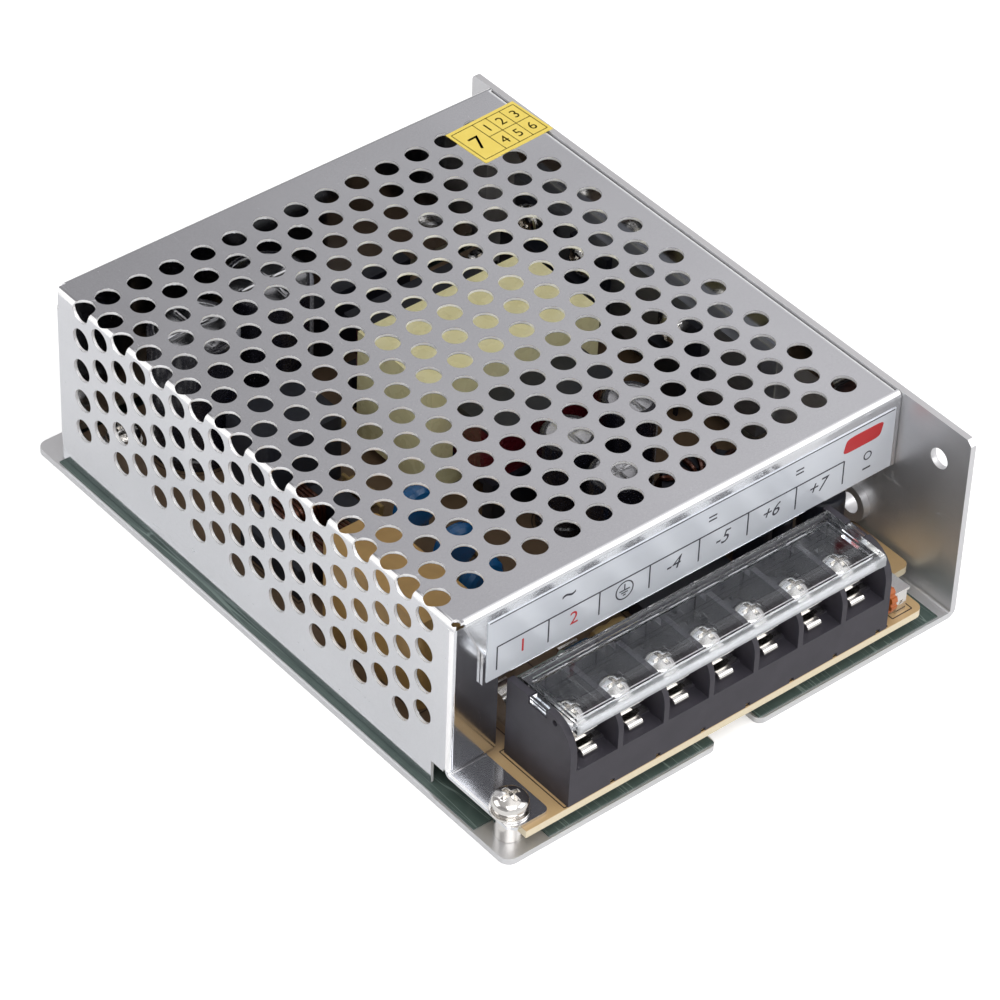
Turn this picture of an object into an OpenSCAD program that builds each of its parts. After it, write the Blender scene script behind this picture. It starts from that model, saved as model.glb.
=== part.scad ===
// Enclosed power supply: folded chassis, perforated cover, seven-way terminal block with a flip-up
// lid, and the board with its parts inside.
// X runs across the terminals, Y from the terminals to the back, Z up. The origin is at the bottom
// centre of the case.

/* [Case] */
// Width of the case, across the terminals
case_w = 98; // [96:1:120]
// Length of the case, front to back
case_l = 129; // [127:1:170]
// Height of the case
case_h = 38.5; // [38.5:0.5:60]
// Thickness of the chassis sheet
chassis_t = 1.2; // [0.8:0.1:1.5]
// Thickness of the cover sheet
cover_t = 0.6; // [0.5:0.1:1]
// Depth of the open terminal bay ahead of the cover
bay_depth = 16.5; // [16.5:0.5:19]
// Ledge of the bottom plate behind the cover
back_ledge = 4.5; // [3:0.5:6]
// Ledge of the bottom plate beside the cover
side_ledge = 1.6; // [1:0.1:2.2]
// Height of the label flange at the front of the cover
label_flange_h = 15.5; // [13:0.5:15.5]
// Width of the mounting notch in the plate's front edge
notch_w = 9; // [4:0.5:12]
// Depth of the mounting notch
notch_l = 10; // [8:0.5:14]
// Bore of the mounting hole in the wall's front end
wall_hole_d = 3.9; // [3:0.1:5]
// Bore of the tapped collar in the wall
wall_tap_d = 4; // [3:0.1:4.4]
// Bore of the tapped collars in the bottom plate
base_tap_d = 2.5; // [2:0.1:3.2]

/* [Perforation] */
// Diameter of one hole
hole_d = 4.4; // [2.5:0.1:4.6]
// Pitch along a row
hole_pitch = 6.65; // [6.4:0.05:9]
// Pitch from row to row
row_pitch = 5.43; // [5.3:0.01:8]
// First row's distance from the cover's front edge
row_start = 7.45; // [6:0.05:9]
// Margin kept between the last row and the cover's back edge
row_margin = 7.4; // [5:0.1:10]
// First hole's distance from the case's right face
hole_start = 7.55; // [7.5:0.05:10]

/* [Board] */
// Height of the standoffs under the board
standoff_h = 3; // [2.6:0.1:3.6]
// Thickness of the circuit board
board_t = 1.6; // [1.2:0.1:2]
// Gap between the board and the case's front face
board_front = 0.2; // [0.1:0.1:0.6]
// Board's left edge from the case's left face
board_left = 3.9; // [3.6:0.1:4.4]
// Gap between the board and the chassis wall
board_wall_gap = 0.8; // [0.4:0.1:1.2]
// Board's back edge from the case's back face
board_back = 7; // [6.5:0.1:8]

/* [Terminals] */
// Pitch of the terminals
pole_pitch = 9.65; // [9.5:0.05:9.75]
// Left face of the terminal block from the case's left face
block_left = 12.5; // [12:0.1:13]
// Depth of the terminal block
block_l = 16; // [15.7:0.1:16.2]
// Thickness of the walls between terminals
barrier_t = 1.1; // [0.9:0.1:1.4]
// Diameter of the terminal screws
terminal_screw_d = 3.5; // [2.5:0.1:4]
// Thickness of the clear lid
lid_t = 1.2; // [0.8:0.1:1.3]

/* [Inside] */
// Length of the transformer core
core_w = 37; // [34:1:40]
// Depth of the transformer core
core_l = 20; // [16:1:21]
// Height of the transformer's top above the board
core_h = 25; // [22:0.5:27]
// Diameter of the mains storage capacitors
bulk_d = 16; // [10:0.5:17]
// Height of the mains storage capacitors
bulk_h = 26; // [15:0.5:28]
// Diameter of the output capacitors
output_cap_d = 10; // [6:0.5:11]
// Height of the output capacitors
output_cap_h = 20; // [12:0.5:25]

/* [Hidden] */

// Roundness of bores and turned pieces
$fn = 40;
// Number of terminals
poles = 7;
// Pieces in one drawn arc
arc_steps = 6;
// Overrun of a cut past the face that it leaves
over = 0.2;
// Gap between two sheets that meet
sheet_gap = 0.1;
// Radial clearance of a pin or screw that turns
run_gap = 0.05;
// Gap between moulded pieces that open
part_gap = 0.15;

// Inner radii of the folds in the two sheets
chassis_fold_in = 0.6;
cover_fold_in = 0.5;
chassis_fold_r = chassis_t + chassis_fold_in;
cover_fold_r = cover_t + cover_fold_in;
// Corners of the bottom plate, of its notch and of the wall
plate_corner_r = 2;
notch_edge_r = 1.5;
wall_front_cut = 1;
wall_back_r = 1;

wall_x = case_w - chassis_t;
cover_x0 = side_ledge;
cover_x1 = wall_x - sheet_gap;
cover_y0 = bay_depth;
cover_y1 = case_l - back_ledge;
board_z = chassis_t + standoff_h;
board_top = board_z + board_t;

// Mounting hole in the wall: from the front face, and down from the top
wall_hole_y = 6.7;
wall_hole_drop = 7.8;
// Tapped collar low in the wall: place, height and rim
collar_y = 24.5;
collar_z = 9.6;
collar_h = 1.4;
collar_rim = 1.6;
// Tapped collars in the bottom plate, on a rectangle about its centre
base_tap_x = 66;
base_tap_y = 95;
base_collar_h = 1.2;
tap_places = [for (sx = [-1, 1], sy = [-1, 1])
    [case_w / 2 + sx * base_tap_x / 2, case_l / 2 + sy * base_tap_y / 2]];

// Screws of the cover: place in from its ends, drop from the top, and their own sizes
cover_screw_in = 14;
cover_screw_drop = 5.5;
cover_screw_d = 3;
cover_screw_head_d = 5.6;
cover_screw_l = 4.5;
cover_flange_h = 9;
cover_screw_ys = [cover_y0 + cover_screw_in, cover_y1 - cover_screw_in];
cover_screw_z = case_h - cover_screw_drop;

// Left wall of the cover: gap over the plate, and the step at its front end
foot_gap = 0.35;
foot_step_l = 3;
foot_step_h = 4.8;
foot_z = chassis_t + foot_gap;
// Inward flanges of the left wall, and the tab at the foot of the front one
side_flange_w = 9.9;
side_flange_drop = 1.5;
side_flange_y = cover_y0 + cover_t + sheet_gap;
back_flange_y = cover_y1 - cover_t - sheet_gap;
tab_w = 8;
tab_front = 1.2;
tab_corner = 1.2;
// Relief hole and lip of the top sheet at the front left corner, relief hole at the back one
relief_d = 1.5;
relief_h = 4;
corner_hole_in = 1;
corner_gap = 0.4;
// Half holes on the fold: their centre line, in from the outer corner
fold_hole_in = 0.6;
// Label flange: where it starts, and its slanted left end
label_flange_start = 2.2;
label_flange_in = 6;
label_flange_slant = 9;

// Screws of the board; the first also holds the tab of the cover
screw_d = 3;
screw_gap = 0.1;
standoff_d = 5;
standoff_gap = 0.3;
first_screw = [4.6, 5.2];
back_screw_in = 13;
left_screw_in = 9.5;
right_screw_in = 8;
front_screw_y = 36;
board_screws = [[left_screw_in, case_l - back_screw_in],
    [case_w - right_screw_in, case_l - back_screw_in],
    [case_w - right_screw_in, front_screw_y]];
pan_head_d = 6.2;
pan_head_h = 2.1;
pan_edge_h = 0.7;
washer_d = 6.8;
washer_t = 0.5;
spring_washer_d = 5.4;
spring_washer_t = 0.8;
screw_foot_gap = 0.5;
cross_w = 0.8;
cross_l = 3.4;
cross_depth = 1.2;

// Insulating sheet on the bottom plate
film_t = 0.25;
film_edge = 0.5;
film_right = 2.5;
film_back = 6.5;
film_corner = 9;
film_gap = 1.2;
film_notch_gap = 0.4;

// Board outline: the narrow tongue at its front, and its corners
tongue_right = 7.7;
tongue_l = 9.5;
board_r = 1.5;

// Terminal block: heights above the board, back wall, feet
floor_h = 7.1;
shelf_h = 7.5;
barrier_h = 15.2;
end_wall_t = 1.4;
end_wall_h = 16.6;
end_wall_fall = 0.4;
barrier_front_h = 10.7;
back_wall_h = 13.6;
back_wall_t = 1.3;
shelf_in = 3.4;
foot_cut_w = 0.9;
foot_cut_h = 0.8;
foot_cut_l = 1.2;
foot_cut_side = 1.2;
window_w = 2.4;
window_h = 1.1;
window_side = 1.7;
block_y0 = board_front;
block_y1 = block_y0 + block_l;
block_w = poles * pole_pitch - barrier_t + 2 * end_wall_t;
block_x1 = block_left + block_w;
pole_w = pole_pitch - barrier_t;
function pole_x(i) = block_left + end_wall_t + pole_w / 2 + (i - 1) * pole_pitch;

// Contact, clamp plate and screw of one terminal
contact_t = 0.9;
contact_w = 7.2;
contact_l = 9;
tongue_w = 3;
tongue_out = 0.8;
tongue_h = 1.1;
leg_w = 2.4;
leg_t = 0.8;
leg_gap = 0.2;
clamp_lift = 0.9;
clamp_w = 6.8;
clamp_l = 6.8;
clamp_t = 0.9;
clamp_rise = 0.9;
clamp_edge = 0.5;
screw_in = 7.1;
terminal_head_d = 6.2;
terminal_head_h = 2;
terminal_washer_d = 5.4;
terminal_washer_t = 0.7;
terminal_shank_l = 5.4;
shank_tip = 0.5;
well_d = 5;
well_l = 6;
screw_y = block_y0 + screw_in;
contact_top = board_top + shelf_h + contact_t;
clamp_z = contact_top + clamp_lift;

// Clear lid: front lip, back and end rims, hinge pins, end lugs
lid_gap = 0.3;
lid_front = 0.3;
lip_l = 1.9;
lip_h = 0.8;
end_rim_t = 1.3;
lid_hollow = 0.3;
rim_h = 0.9;
back_rim_l = 2;
lid_corner_r = 0.8;
pin_d = 1.4;
pin_l = 0.9;
hinge_in = 1.8;
hinge_drop = 0.35;
hinge_room = 1.8;
lid_back = 1.1;
lug_in = 6.5;
lug_l = 3.9;
lug_drop = 0.4;
lug_h = 1.2;
lug_gap = 0.3;
catch_d = 1.1;
catch_in = 4.2;
catch_h = 15.3;
lid_z = board_top + barrier_h + lid_gap;
lid_top = lid_z + lid_t;
hinge_y = block_y1 - hinge_in;
hinge_z = lid_z - hinge_drop;
lid_x0 = block_left + end_wall_t + part_gap;
lid_x1 = block_x1 - end_wall_t - part_gap;
lid_y0 = block_y0 + lid_front;
lid_y1 = hinge_y + lid_back;

// Label strip on the flange, and the seal sticker on the cover
label_t = 0.15;
label_left = 8.3;
label_right = 2.4;
label_bottom = 0.3;
label_top = 2.6;
sticker_t = 0.1;
sticker_w = 16;
sticker_l = 10.6;
sticker_back = 11.5;
sticker_turn = 3;
sticker_right = 0.5;

// Transformer: yokes, legs, bobbin and winding
core_lift = 2;
yoke_h = 5;
core_leg_w = 5;
centre_leg_w = 12;
bobbin_gap = 0.2;
bobbin_wall = 1;
bobbin_flange_t = 1.2;
bobbin_out = 10.5;
rail_l = 2.5;
winding_in = 1;
winding_r = 3;
transformer_right = 38.5;
transformer_y = 81;
transformer_x = case_w - transformer_right;

// Parts of the mains side, placed from the left face; those near the back count from the back face
function from_back(p) = [p.x, case_l - p.y];
drive_size = [16, 13, 14];
drive_at = from_back([26, 37]);
choke_at = [18, 73];
choke_size = [19, 16];
choke_bar = 4.4;
choke_lift = 4.2;
choke_leg_gap = 0.4;
choke_coil_t = 2.6;
choke_coil_in = 0.5;
choke_foot_w = 3;
bulk_at = [from_back([19, 21]), from_back([37, 18])];
filter_size = [11.5, 26, 19];
filter_at = [13.2, 45];
filter_r = 1.2;
disc_d = 9;
disc_t = 3.4;
disc_lift = 2.2;
disc_leg_w = 0.6;
disc_leg_pitch = 5;
disc_leg_in = 1.6;
disc_places = [[34, 66], [33, 54], [31, 45], [42, 36]];
fuse_d = 5;
fuse_l = 20;
fuse_cap_d = 5.6;
fuse_cap_l = 5;
fuse_at = [26, 22.5];
fuse_lift = 1;
clip_t = 0.5;
clip_w = 4;
clip_rise = 1.2;
thermistor_d = 9;
thermistor_t = 4;
thermistor_at = [24, 31];
bridge_size = [20, 3.6, 14];
bridge_lift = 2;
bridge_cut = 2.5;
bridge_at = from_back([58, 17]);
bridge_pitch = 5;

// Parts of the output side, placed from the right face
output_places = [[41.5, 53.5], [27.5, 54], [41.5, 41]];
can_edge_r = 0.8;
can_groove = 0.35;
can_groove_up = 2.6;
small_cans = [[11, 23, 8, 12], [47.4, 32, 5, 11], [25, 24.5, 6.3, 11], [18.4, 25.5, 5, 9], [16, 98, 5, 11]];
inductor_d = 20;
inductor_hole = 9;
inductor_h = 8;
inductor_at = [22, 38];
inductor_turns = 16;
inductor_wire = 1.1;
inductor_gap = 0.15;
bar_t = 3.5;
bar_y0 = 46;
bar_back = 17;
bar_y1 = case_l - bar_back;
bar_lift = 5;
bar_flange_gap = 1.7;
bar_h = case_h - cover_flange_h - bar_flange_gap - board_top - bar_lift;
pad_t = 0.3;
tab_plate_t = 1.3;
tab_plate_h = 15;
package_w = 10;
package_t = 3.2;
package_h = 9;
package_lift = 5;
package_leg_w = 0.8;
package_leg_t = 0.5;
package_leg_pitch = 2.54;
package_hole_up = 12.4;
transistor_backs = [39, 24];
transistor_ys = [for (b = transistor_backs) case_l - b];
rectifier_y = 66;
bar_screw_l = 4.4;
bar_head_h = 2;
chip_size = [19.4, 6.4, 3.4];
chip_lift = 0.6;
chip_at = [38.5, 25.6];
chip_legs = 8;
chip_leg_w = 0.5;
chip_leg_t = 0.3;
chip_leg_out = 0.7;
chip_leg_pitch = 2.54;
resistor_d = 2.4;
resistor_l = 6.4;
resistor_bulge = 0.3;
resistor_lift = 1.7;
resistor_wire = 0.7;
resistor_span = 11;
resistor_places = [[43.5, 26.5, 0], [33, 79, 90], [40, 96, 0], [39.6, 56, 90], [47, 119.6, 0],
    [58.6, 32.4, 0]];

// Trimmer at the right end of the terminal block
trimmer_x = 14.8;
trimmer_y = 4.2;
trimmer_axis_h = 3.6;
wheel_d = 6.8;
wheel_t = 1.3;
wheel_shaft_d = 1.2;
wheel_shaft_l = 2;
wheel_notch_d = 0.8;
wheel_notches = 12;
trimmer_block = [3.3, 3.8, 4.3];
trimmer_plate_t = 0.5;
trimmer_plate_w = 3.4;
trimmer_plate_l = 4.9;
trimmer_leg_w = 2.2;
trimmer_window = 0.8;
trimmer_window_up = 1.9;
trimmer_top_h = trimmer_block.z + trimmer_plate_t;

// Indicator lamp behind the block's right end
lamp_d = 3;
lamp_rim_d = 3.8;
lamp_rim_h = 1;
lamp_h = 3.4;
lamp_right = 12;
lamp_y = 13;

function arc_pts(cx, cy, r, a0, a1) =
    [for (i = [0 : arc_steps]) let (a = a0 + (a1 - a0) * i / arc_steps) [cx + r * cos(a), cy + r * sin(a)]];

function round_rect(w, l, r) = concat(
    arc_pts(w / 2 - r, l / 2 - r, r, 0, 90), arc_pts(r - w / 2, l / 2 - r, r, 90, 180),
    arc_pts(r - w / 2, r - l / 2, r, 180, 270), arc_pts(w / 2 - r, r - l / 2, r, 270, 360));

// Shifts from the case's front left bottom corner to the origin
module in_case() {
    translate([-case_w / 2, -case_l / 2, 0]) children();
}

module on_board(at) {
    translate([at.x, at.y, board_top]) children();
}

// Outlines drawn in Y and Z, carried along X from x0 to x1
module along_x(x0, x1) {
    translate([x0, 0, 0]) rotate([90, 0, 90]) linear_extrude(x1 - x0) children();
}

// Outlines drawn in X and Z, carried along Y from y0 to y1
module along_y(y0, y1) {
    translate([0, y1, 0]) rotate([90, 0, 0]) linear_extrude(y1 - y0) children();
}

// One quarter of a folded sheet's section, opening towards +X and +Y of the drawing
module fold_quarter(r, t) {
    intersection() {
        difference() {
            circle(r);
            circle(r - t);
        }
        square(r);
    }
}

module chassis_plate_outline() {
    x1 = case_w - chassis_fold_r;
    n0 = (case_w - notch_w) / 2;
    n1 = (case_w + notch_w) / 2;
    polygon(concat(
        [[x1, 0], [x1, case_l]],
        arc_pts(plate_corner_r, case_l - plate_corner_r, plate_corner_r, 90, 180),
        arc_pts(plate_corner_r, plate_corner_r, plate_corner_r, 180, 270),
        arc_pts(n0 - notch_edge_r, notch_edge_r, notch_edge_r, 270, 360),
        arc_pts(case_w / 2, notch_l - notch_w / 2, notch_w / 2, 180, 0),
        arc_pts(n1 + notch_edge_r, notch_edge_r, notch_edge_r, 180, 270)));
}

module chassis_wall_outline() {
    polygon(concat(
        [[0, chassis_fold_r], [case_l, chassis_fold_r]],
        arc_pts(case_l - wall_back_r, case_h - wall_back_r, wall_back_r, 0, 90),
        [[wall_front_cut, case_h], [0, case_h - wall_front_cut]]));
}

module chassis() color("silver") in_case() {
    difference() {
        union() {
            linear_extrude(chassis_t) chassis_plate_outline();
            along_y(0, case_l) translate([case_w - chassis_fold_r, chassis_fold_r])
                rotate(-90) fold_quarter(chassis_fold_r, chassis_t);
            along_x(wall_x, case_w) chassis_wall_outline();
            for (p = tap_places) translate([p.x, p.y, 0])
                cylinder(d = base_tap_d + collar_rim, h = chassis_t + base_collar_h);
            translate([wall_x - collar_h, collar_y, collar_z]) rotate([0, 90, 0])
                cylinder(d = wall_tap_d + 2 * collar_rim, h = collar_h + chassis_t);
        }
        for (p = tap_places) translate([p.x, p.y, -over])
            cylinder(d = base_tap_d, h = chassis_t + base_collar_h + 2 * over);
        translate([wall_x - collar_h - over, collar_y, collar_z]) rotate([0, 90, 0])
            cylinder(d = wall_tap_d, h = collar_h + chassis_t + 2 * over);
        translate([wall_x - over, wall_hole_y, case_h - wall_hole_drop]) rotate([0, 90, 0])
            cylinder(d = wall_hole_d, h = chassis_t + 2 * over);
        for (y = cover_screw_ys) translate([wall_x, y, cover_screw_z]) rotate([0, 90, 0]) {
            translate([0, 0, -over]) cylinder(d = cover_screw_d + 2 * screw_gap, h = chassis_t + 2 * over);
            countersink(cover_screw_head_d / 2 + screw_gap, cover_screw_d / 2 + screw_gap);
        }
    }
}

// Cone of a countersunk head, flush with the sheet's outer face at height chassis_t
module countersink(r_out, r_in) {
    cone = min(r_out - r_in, chassis_t);
    rotate_extrude() polygon([[0, chassis_t - cone], [r_out - cone, chassis_t - cone],
        [r_out, chassis_t], [r_out, chassis_t + over], [0, chassis_t + over]]);
}

cover_rows = floor((cover_y1 - cover_y0 - row_start - row_margin) / row_pitch);
hole_edge = hole_d / 2;
function row_y(i) = cover_y0 + row_start + i * row_pitch;
function row_shift(i) = i % 2 == 0 ? 0 : 1 / 2;
function row_x(i, k) = case_w - hole_start - (k + row_shift(i)) * hole_pitch;
function row_last(i) = floor((case_w - hole_start - cover_x0 - hole_edge) / hole_pitch - row_shift(i));
function side_z(i, k) = case_h - (k + 1 / 2 + row_shift(i)) * hole_pitch;
function side_last(i) = floor((case_h - foot_z - foot_step_h - hole_d) / hole_pitch - 1 / 2 - row_shift(i));

module cover_top_outline() {
    difference() {
        translate([cover_x0 + cover_fold_r, cover_y0 + cover_fold_r])
            square([cover_x1 - cover_x0 - 2 * cover_fold_r, cover_y1 - cover_y0 - 2 * cover_fold_r]);
        for (i = [0 : cover_rows], k = [0 : row_last(i)])
            translate([row_x(i, k), row_y(i)]) circle(hole_edge);
        for (i = [1 : 2 : cover_rows]) translate([cover_x0 + fold_hole_in, row_y(i)]) circle(hole_edge);
    }
}

module cover_side_outline() {
    y0 = side_flange_y + cover_fold_r;
    y1 = back_flange_y - cover_fold_r;
    z1 = case_h - cover_fold_r;
    difference() {
        polygon([[y0, foot_z + foot_step_h], [y0 + foot_step_l, foot_z + foot_step_h],
            [y0 + foot_step_l, foot_z], [y1, foot_z], [y1, z1], [y0, z1]]);
        for (i = [0 : cover_rows], k = [0 : side_last(i)])
            translate([row_y(i), side_z(i, k)]) circle(hole_edge);
        for (i = [1 : 2 : cover_rows]) translate([row_y(i), case_h - fold_hole_in]) circle(hole_edge);
    }
}

// Holes that reach into the fold between the top and the left wall
module fold_holes() {
    for (i = [0 : cover_rows]) {
        bend = i % 2 == 1;
        translate([bend ? cover_x0 + fold_hole_in : row_x(i, row_last(i)), row_y(i), case_h - cover_fold_r])
            cylinder(r = hole_edge, h = cover_fold_r + over);
        translate([cover_x0 - over, row_y(i), bend ? case_h - fold_hole_in : side_z(i, 0)])
            rotate([0, 90, 0]) cylinder(r = hole_edge, h = cover_fold_r + over);
    }
}

module cover_long_fold() {
    difference() {
        along_y(cover_y0 + corner_gap, cover_y1 - cover_fold_r)
            translate([cover_x0 + cover_fold_r, case_h - cover_fold_r])
                rotate(90) fold_quarter(cover_fold_r, cover_t);
        fold_holes();
    }
}

module label_flange() {
    z0 = case_h - label_flange_h;
    x0 = cover_x0 + label_flange_start;
    along_x(x0, cover_x1) translate([cover_y0 + cover_fold_r, case_h - cover_fold_r])
        rotate(90) fold_quarter(cover_fold_r, cover_t);
    along_y(cover_y0, cover_y0 + cover_t) polygon([[x0, case_h - cover_fold_r],
        [cover_x0 + label_flange_in, case_h - label_flange_slant], [cover_x0 + label_flange_in, z0],
        [cover_x1, z0], [cover_x1, case_h - cover_fold_r]]);
}

module back_flap() {
    along_x(cover_x0 + label_flange_start, cover_x1)
        translate([cover_y1 - cover_fold_r, case_h - cover_fold_r]) fold_quarter(cover_fold_r, cover_t);
    along_y(cover_y1 - cover_t, cover_y1) translate([cover_x0 + label_flange_start, foot_z])
        square([cover_x1 - cover_x0 - label_flange_start, case_h - cover_fold_r - foot_z]);
}

// Inward flange at one end of the left wall, with the vertical fold that carries it
module side_flange(y, way, z0) {
    h = case_h - side_flange_drop - z0;
    translate([cover_x0 + cover_fold_r, y + way * cover_fold_r, z0]) linear_extrude(h)
        mirror([0, (way + 1) / 2, 0]) mirror([1, 0, 0]) fold_quarter(cover_fold_r, cover_t);
    translate([cover_x0 + cover_fold_r, min(y, y + way * cover_t), z0])
        cube([side_flange_w - cover_fold_r, cover_t, h]);
}

// Tab that reaches forward over the board's corner
module cover_tab() {
    y1 = side_flange_y - cover_fold_in;
    x1 = cover_x0 + tab_w;
    translate([0, 0, board_top]) linear_extrude(cover_t) difference() {
        polygon(concat([[cover_x0, y1], [cover_x0, tab_front + tab_corner],
            [cover_x0 + tab_corner, tab_front]],
            arc_pts(x1 - tab_corner, tab_front + tab_corner, tab_corner, 270, 360), [[x1, y1]]));
        translate(first_screw) circle(d = screw_d + 2 * screw_gap);
    }
    along_x(cover_x0, x1) translate([y1, board_top + cover_fold_r])
        rotate(-90) fold_quarter(cover_fold_r, cover_t);
}

module cover() color("gainsboro") in_case() {
    z1 = case_h - cover_fold_r;
    ya = cover_y0 + cover_fold_r;
    yb = cover_y1 - cover_fold_r;
    difference() {
        union() {
            translate([0, 0, case_h - cover_t]) linear_extrude(cover_t) cover_top_outline();
            translate([cover_x0 + cover_fold_r, cover_y0 + corner_gap, case_h - cover_t])
                cube([label_flange_start - cover_fold_r, cover_fold_r - corner_gap, cover_t]);
            cover_long_fold();
            along_x(cover_x0, cover_x0 + cover_t) cover_side_outline();
            along_y(ya, yb) translate([cover_x1 - cover_fold_r, z1]) fold_quarter(cover_fold_r, cover_t);
            along_x(cover_x1 - cover_t, cover_x1) translate([ya, case_h - cover_flange_h])
                square([yb - ya, cover_flange_h - cover_fold_r]);
            label_flange();
            back_flap();
            side_flange(side_flange_y, 1, board_top + cover_fold_r);
            side_flange(back_flange_y, -1, foot_z);
            cover_tab();
        }
        translate([cover_x0 + corner_hole_in, cover_y0 + corner_hole_in, case_h - cover_fold_r - over])
            cylinder(d = relief_d, h = cover_fold_r + 2 * over);
        translate([cover_x0, yb, case_h - relief_h]) cylinder(d = relief_d, h = relief_h + over);
        for (y = cover_screw_ys) translate([cover_x1 - cover_t - over, y, cover_screw_z])
            rotate([0, 90, 0]) cylinder(d = cover_screw_d + 2 * run_gap, h = cover_t + 2 * over);
    }
}

module insulating_sheet() color("honeydew") in_case() {
    x0 = film_edge;
    x1 = wall_x - film_right;
    y1 = case_l - film_back;
    translate([0, 0, chassis_t]) linear_extrude(film_t) difference() {
        polygon([[film_corner, film_edge], [x1, film_edge], [x1, y1], [x0, y1], [x0, film_corner],
            [film_corner, film_corner]]);
        translate([case_w / 2, 0]) square([notch_w + 2 * film_notch_gap, 2 * (notch_l + film_notch_gap)],
            center = true);
        for (p = board_screws) translate(p) circle(d = standoff_d + film_gap);
        for (p = tap_places) translate(p) circle(d = base_tap_d + collar_rim + film_gap);
    }
}

module standoffs() color("darkgray") in_case() {
    for (p = concat([[first_screw.x, first_screw.y, standoff_h + board_t]],
            [for (q = board_screws) [q.x, q.y, standoff_h]]))
        translate([p.x, p.y, chassis_t]) difference() {
            cylinder(d = standoff_d, h = p[2]);
            translate([0, 0, screw_foot_gap / 2]) cylinder(d = screw_d + 2 * run_gap, h = p[2] + over);
        }
}

module board_outline() {
    x0 = board_left;
    x1 = wall_x - board_wall_gap;
    xt = case_w - tongue_right;
    y0 = board_front;
    y1 = case_l - board_back;
    r = board_r;
    polygon(concat([[x0, y0]], arc_pts(xt - r, y0 + r, r, 270, 360), [[xt, tongue_l]],
        arc_pts(x1 - r, tongue_l + r, r, 270, 360), arc_pts(x1 - r, y1 - r, r, 0, 90),
        arc_pts(x0 + r, y1 - r, r, 90, 180)));
}

module circuit_board() color("burlywood") in_case() {
    translate([0, 0, board_z]) linear_extrude(board_t) difference() {
        board_outline();
        translate(first_screw) circle(d = standoff_d + 2 * standoff_gap);
        for (p = board_screws) translate(p) circle(d = screw_d + 2 * screw_gap);
    }
}

// Crossed slots of a screw head that ends at height z
module cross_recess(z) {
    for (a = [0, 90]) rotate(a) translate([-cross_l / 2, -cross_w / 2, z - cross_depth])
        cube([cross_l, cross_w, cross_depth + over]);
}

// Domed head on a washer stack; the shank reaches down to -shank
module pan_screw(shank, d, head_d, head_h, spring_d, spring_t, flat_d, flat_t) {
    z1 = flat_t + spring_t;
    difference() {
        rotate_extrude() polygon(concat([[0, -shank], [d / 2 - shank_tip, -shank],
            [d / 2, shank_tip - shank], [d / 2, 0], [flat_d / 2, 0], [flat_d / 2, flat_t],
            [spring_d / 2, flat_t], [spring_d / 2, z1], [head_d / 2, z1]],
            [for (i = [0 : arc_steps]) let (a = 90 * i / arc_steps)
                [head_d / 2 * cos(a), z1 + pan_edge_h + (head_h - pan_edge_h) * sin(a)]]));
        cross_recess(z1 + head_h);
    }
}

module mounting_screws() color("silver") in_case() {
    translate([first_screw.x, first_screw.y, board_top + cover_t])
        pan_screw(standoff_h + board_t + cover_t - screw_foot_gap, screw_d, pan_head_d, pan_head_h,
            spring_washer_d, spring_washer_t, washer_d, washer_t);
    for (p = board_screws) translate([p.x, p.y, board_top])
        pan_screw(standoff_h + board_t - screw_foot_gap, screw_d, pan_head_d, pan_head_h,
            spring_washer_d, spring_washer_t, washer_d, washer_t);
}

module cover_screws() color("silver") in_case() {
    cone = min((cover_screw_head_d - cover_screw_d) / 2, chassis_t);
    for (y = cover_screw_ys) translate([case_w, y, cover_screw_z]) rotate([0, 90, 0]) difference() {
        rotate_extrude() polygon([[0, -cover_screw_l], [cover_screw_d / 2, -cover_screw_l],
            [cover_screw_d / 2, -cone], [cover_screw_head_d / 2 - cone, -cone],
            [cover_screw_head_d / 2, 0], [0, 0]]);
        cross_recess(0);
    }
}

// Section of a wall between terminals, or of an end wall with a higher top
function barrier_pts(top, fall, back_cut) = concat(
    [[block_y0, board_top], [block_y0, board_top + barrier_front_h]],
    arc_pts(block_y0 + top - barrier_front_h, board_top + barrier_front_h, top - barrier_front_h, 180, 90),
    back_cut
        ? [[hinge_y - hinge_room, board_top + top], [hinge_y - hinge_room, board_top + back_wall_h],
            [block_y1, board_top + back_wall_h]]
        : [[block_y1, board_top + top - fall]],
    [[block_y1, board_top]]);

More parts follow.
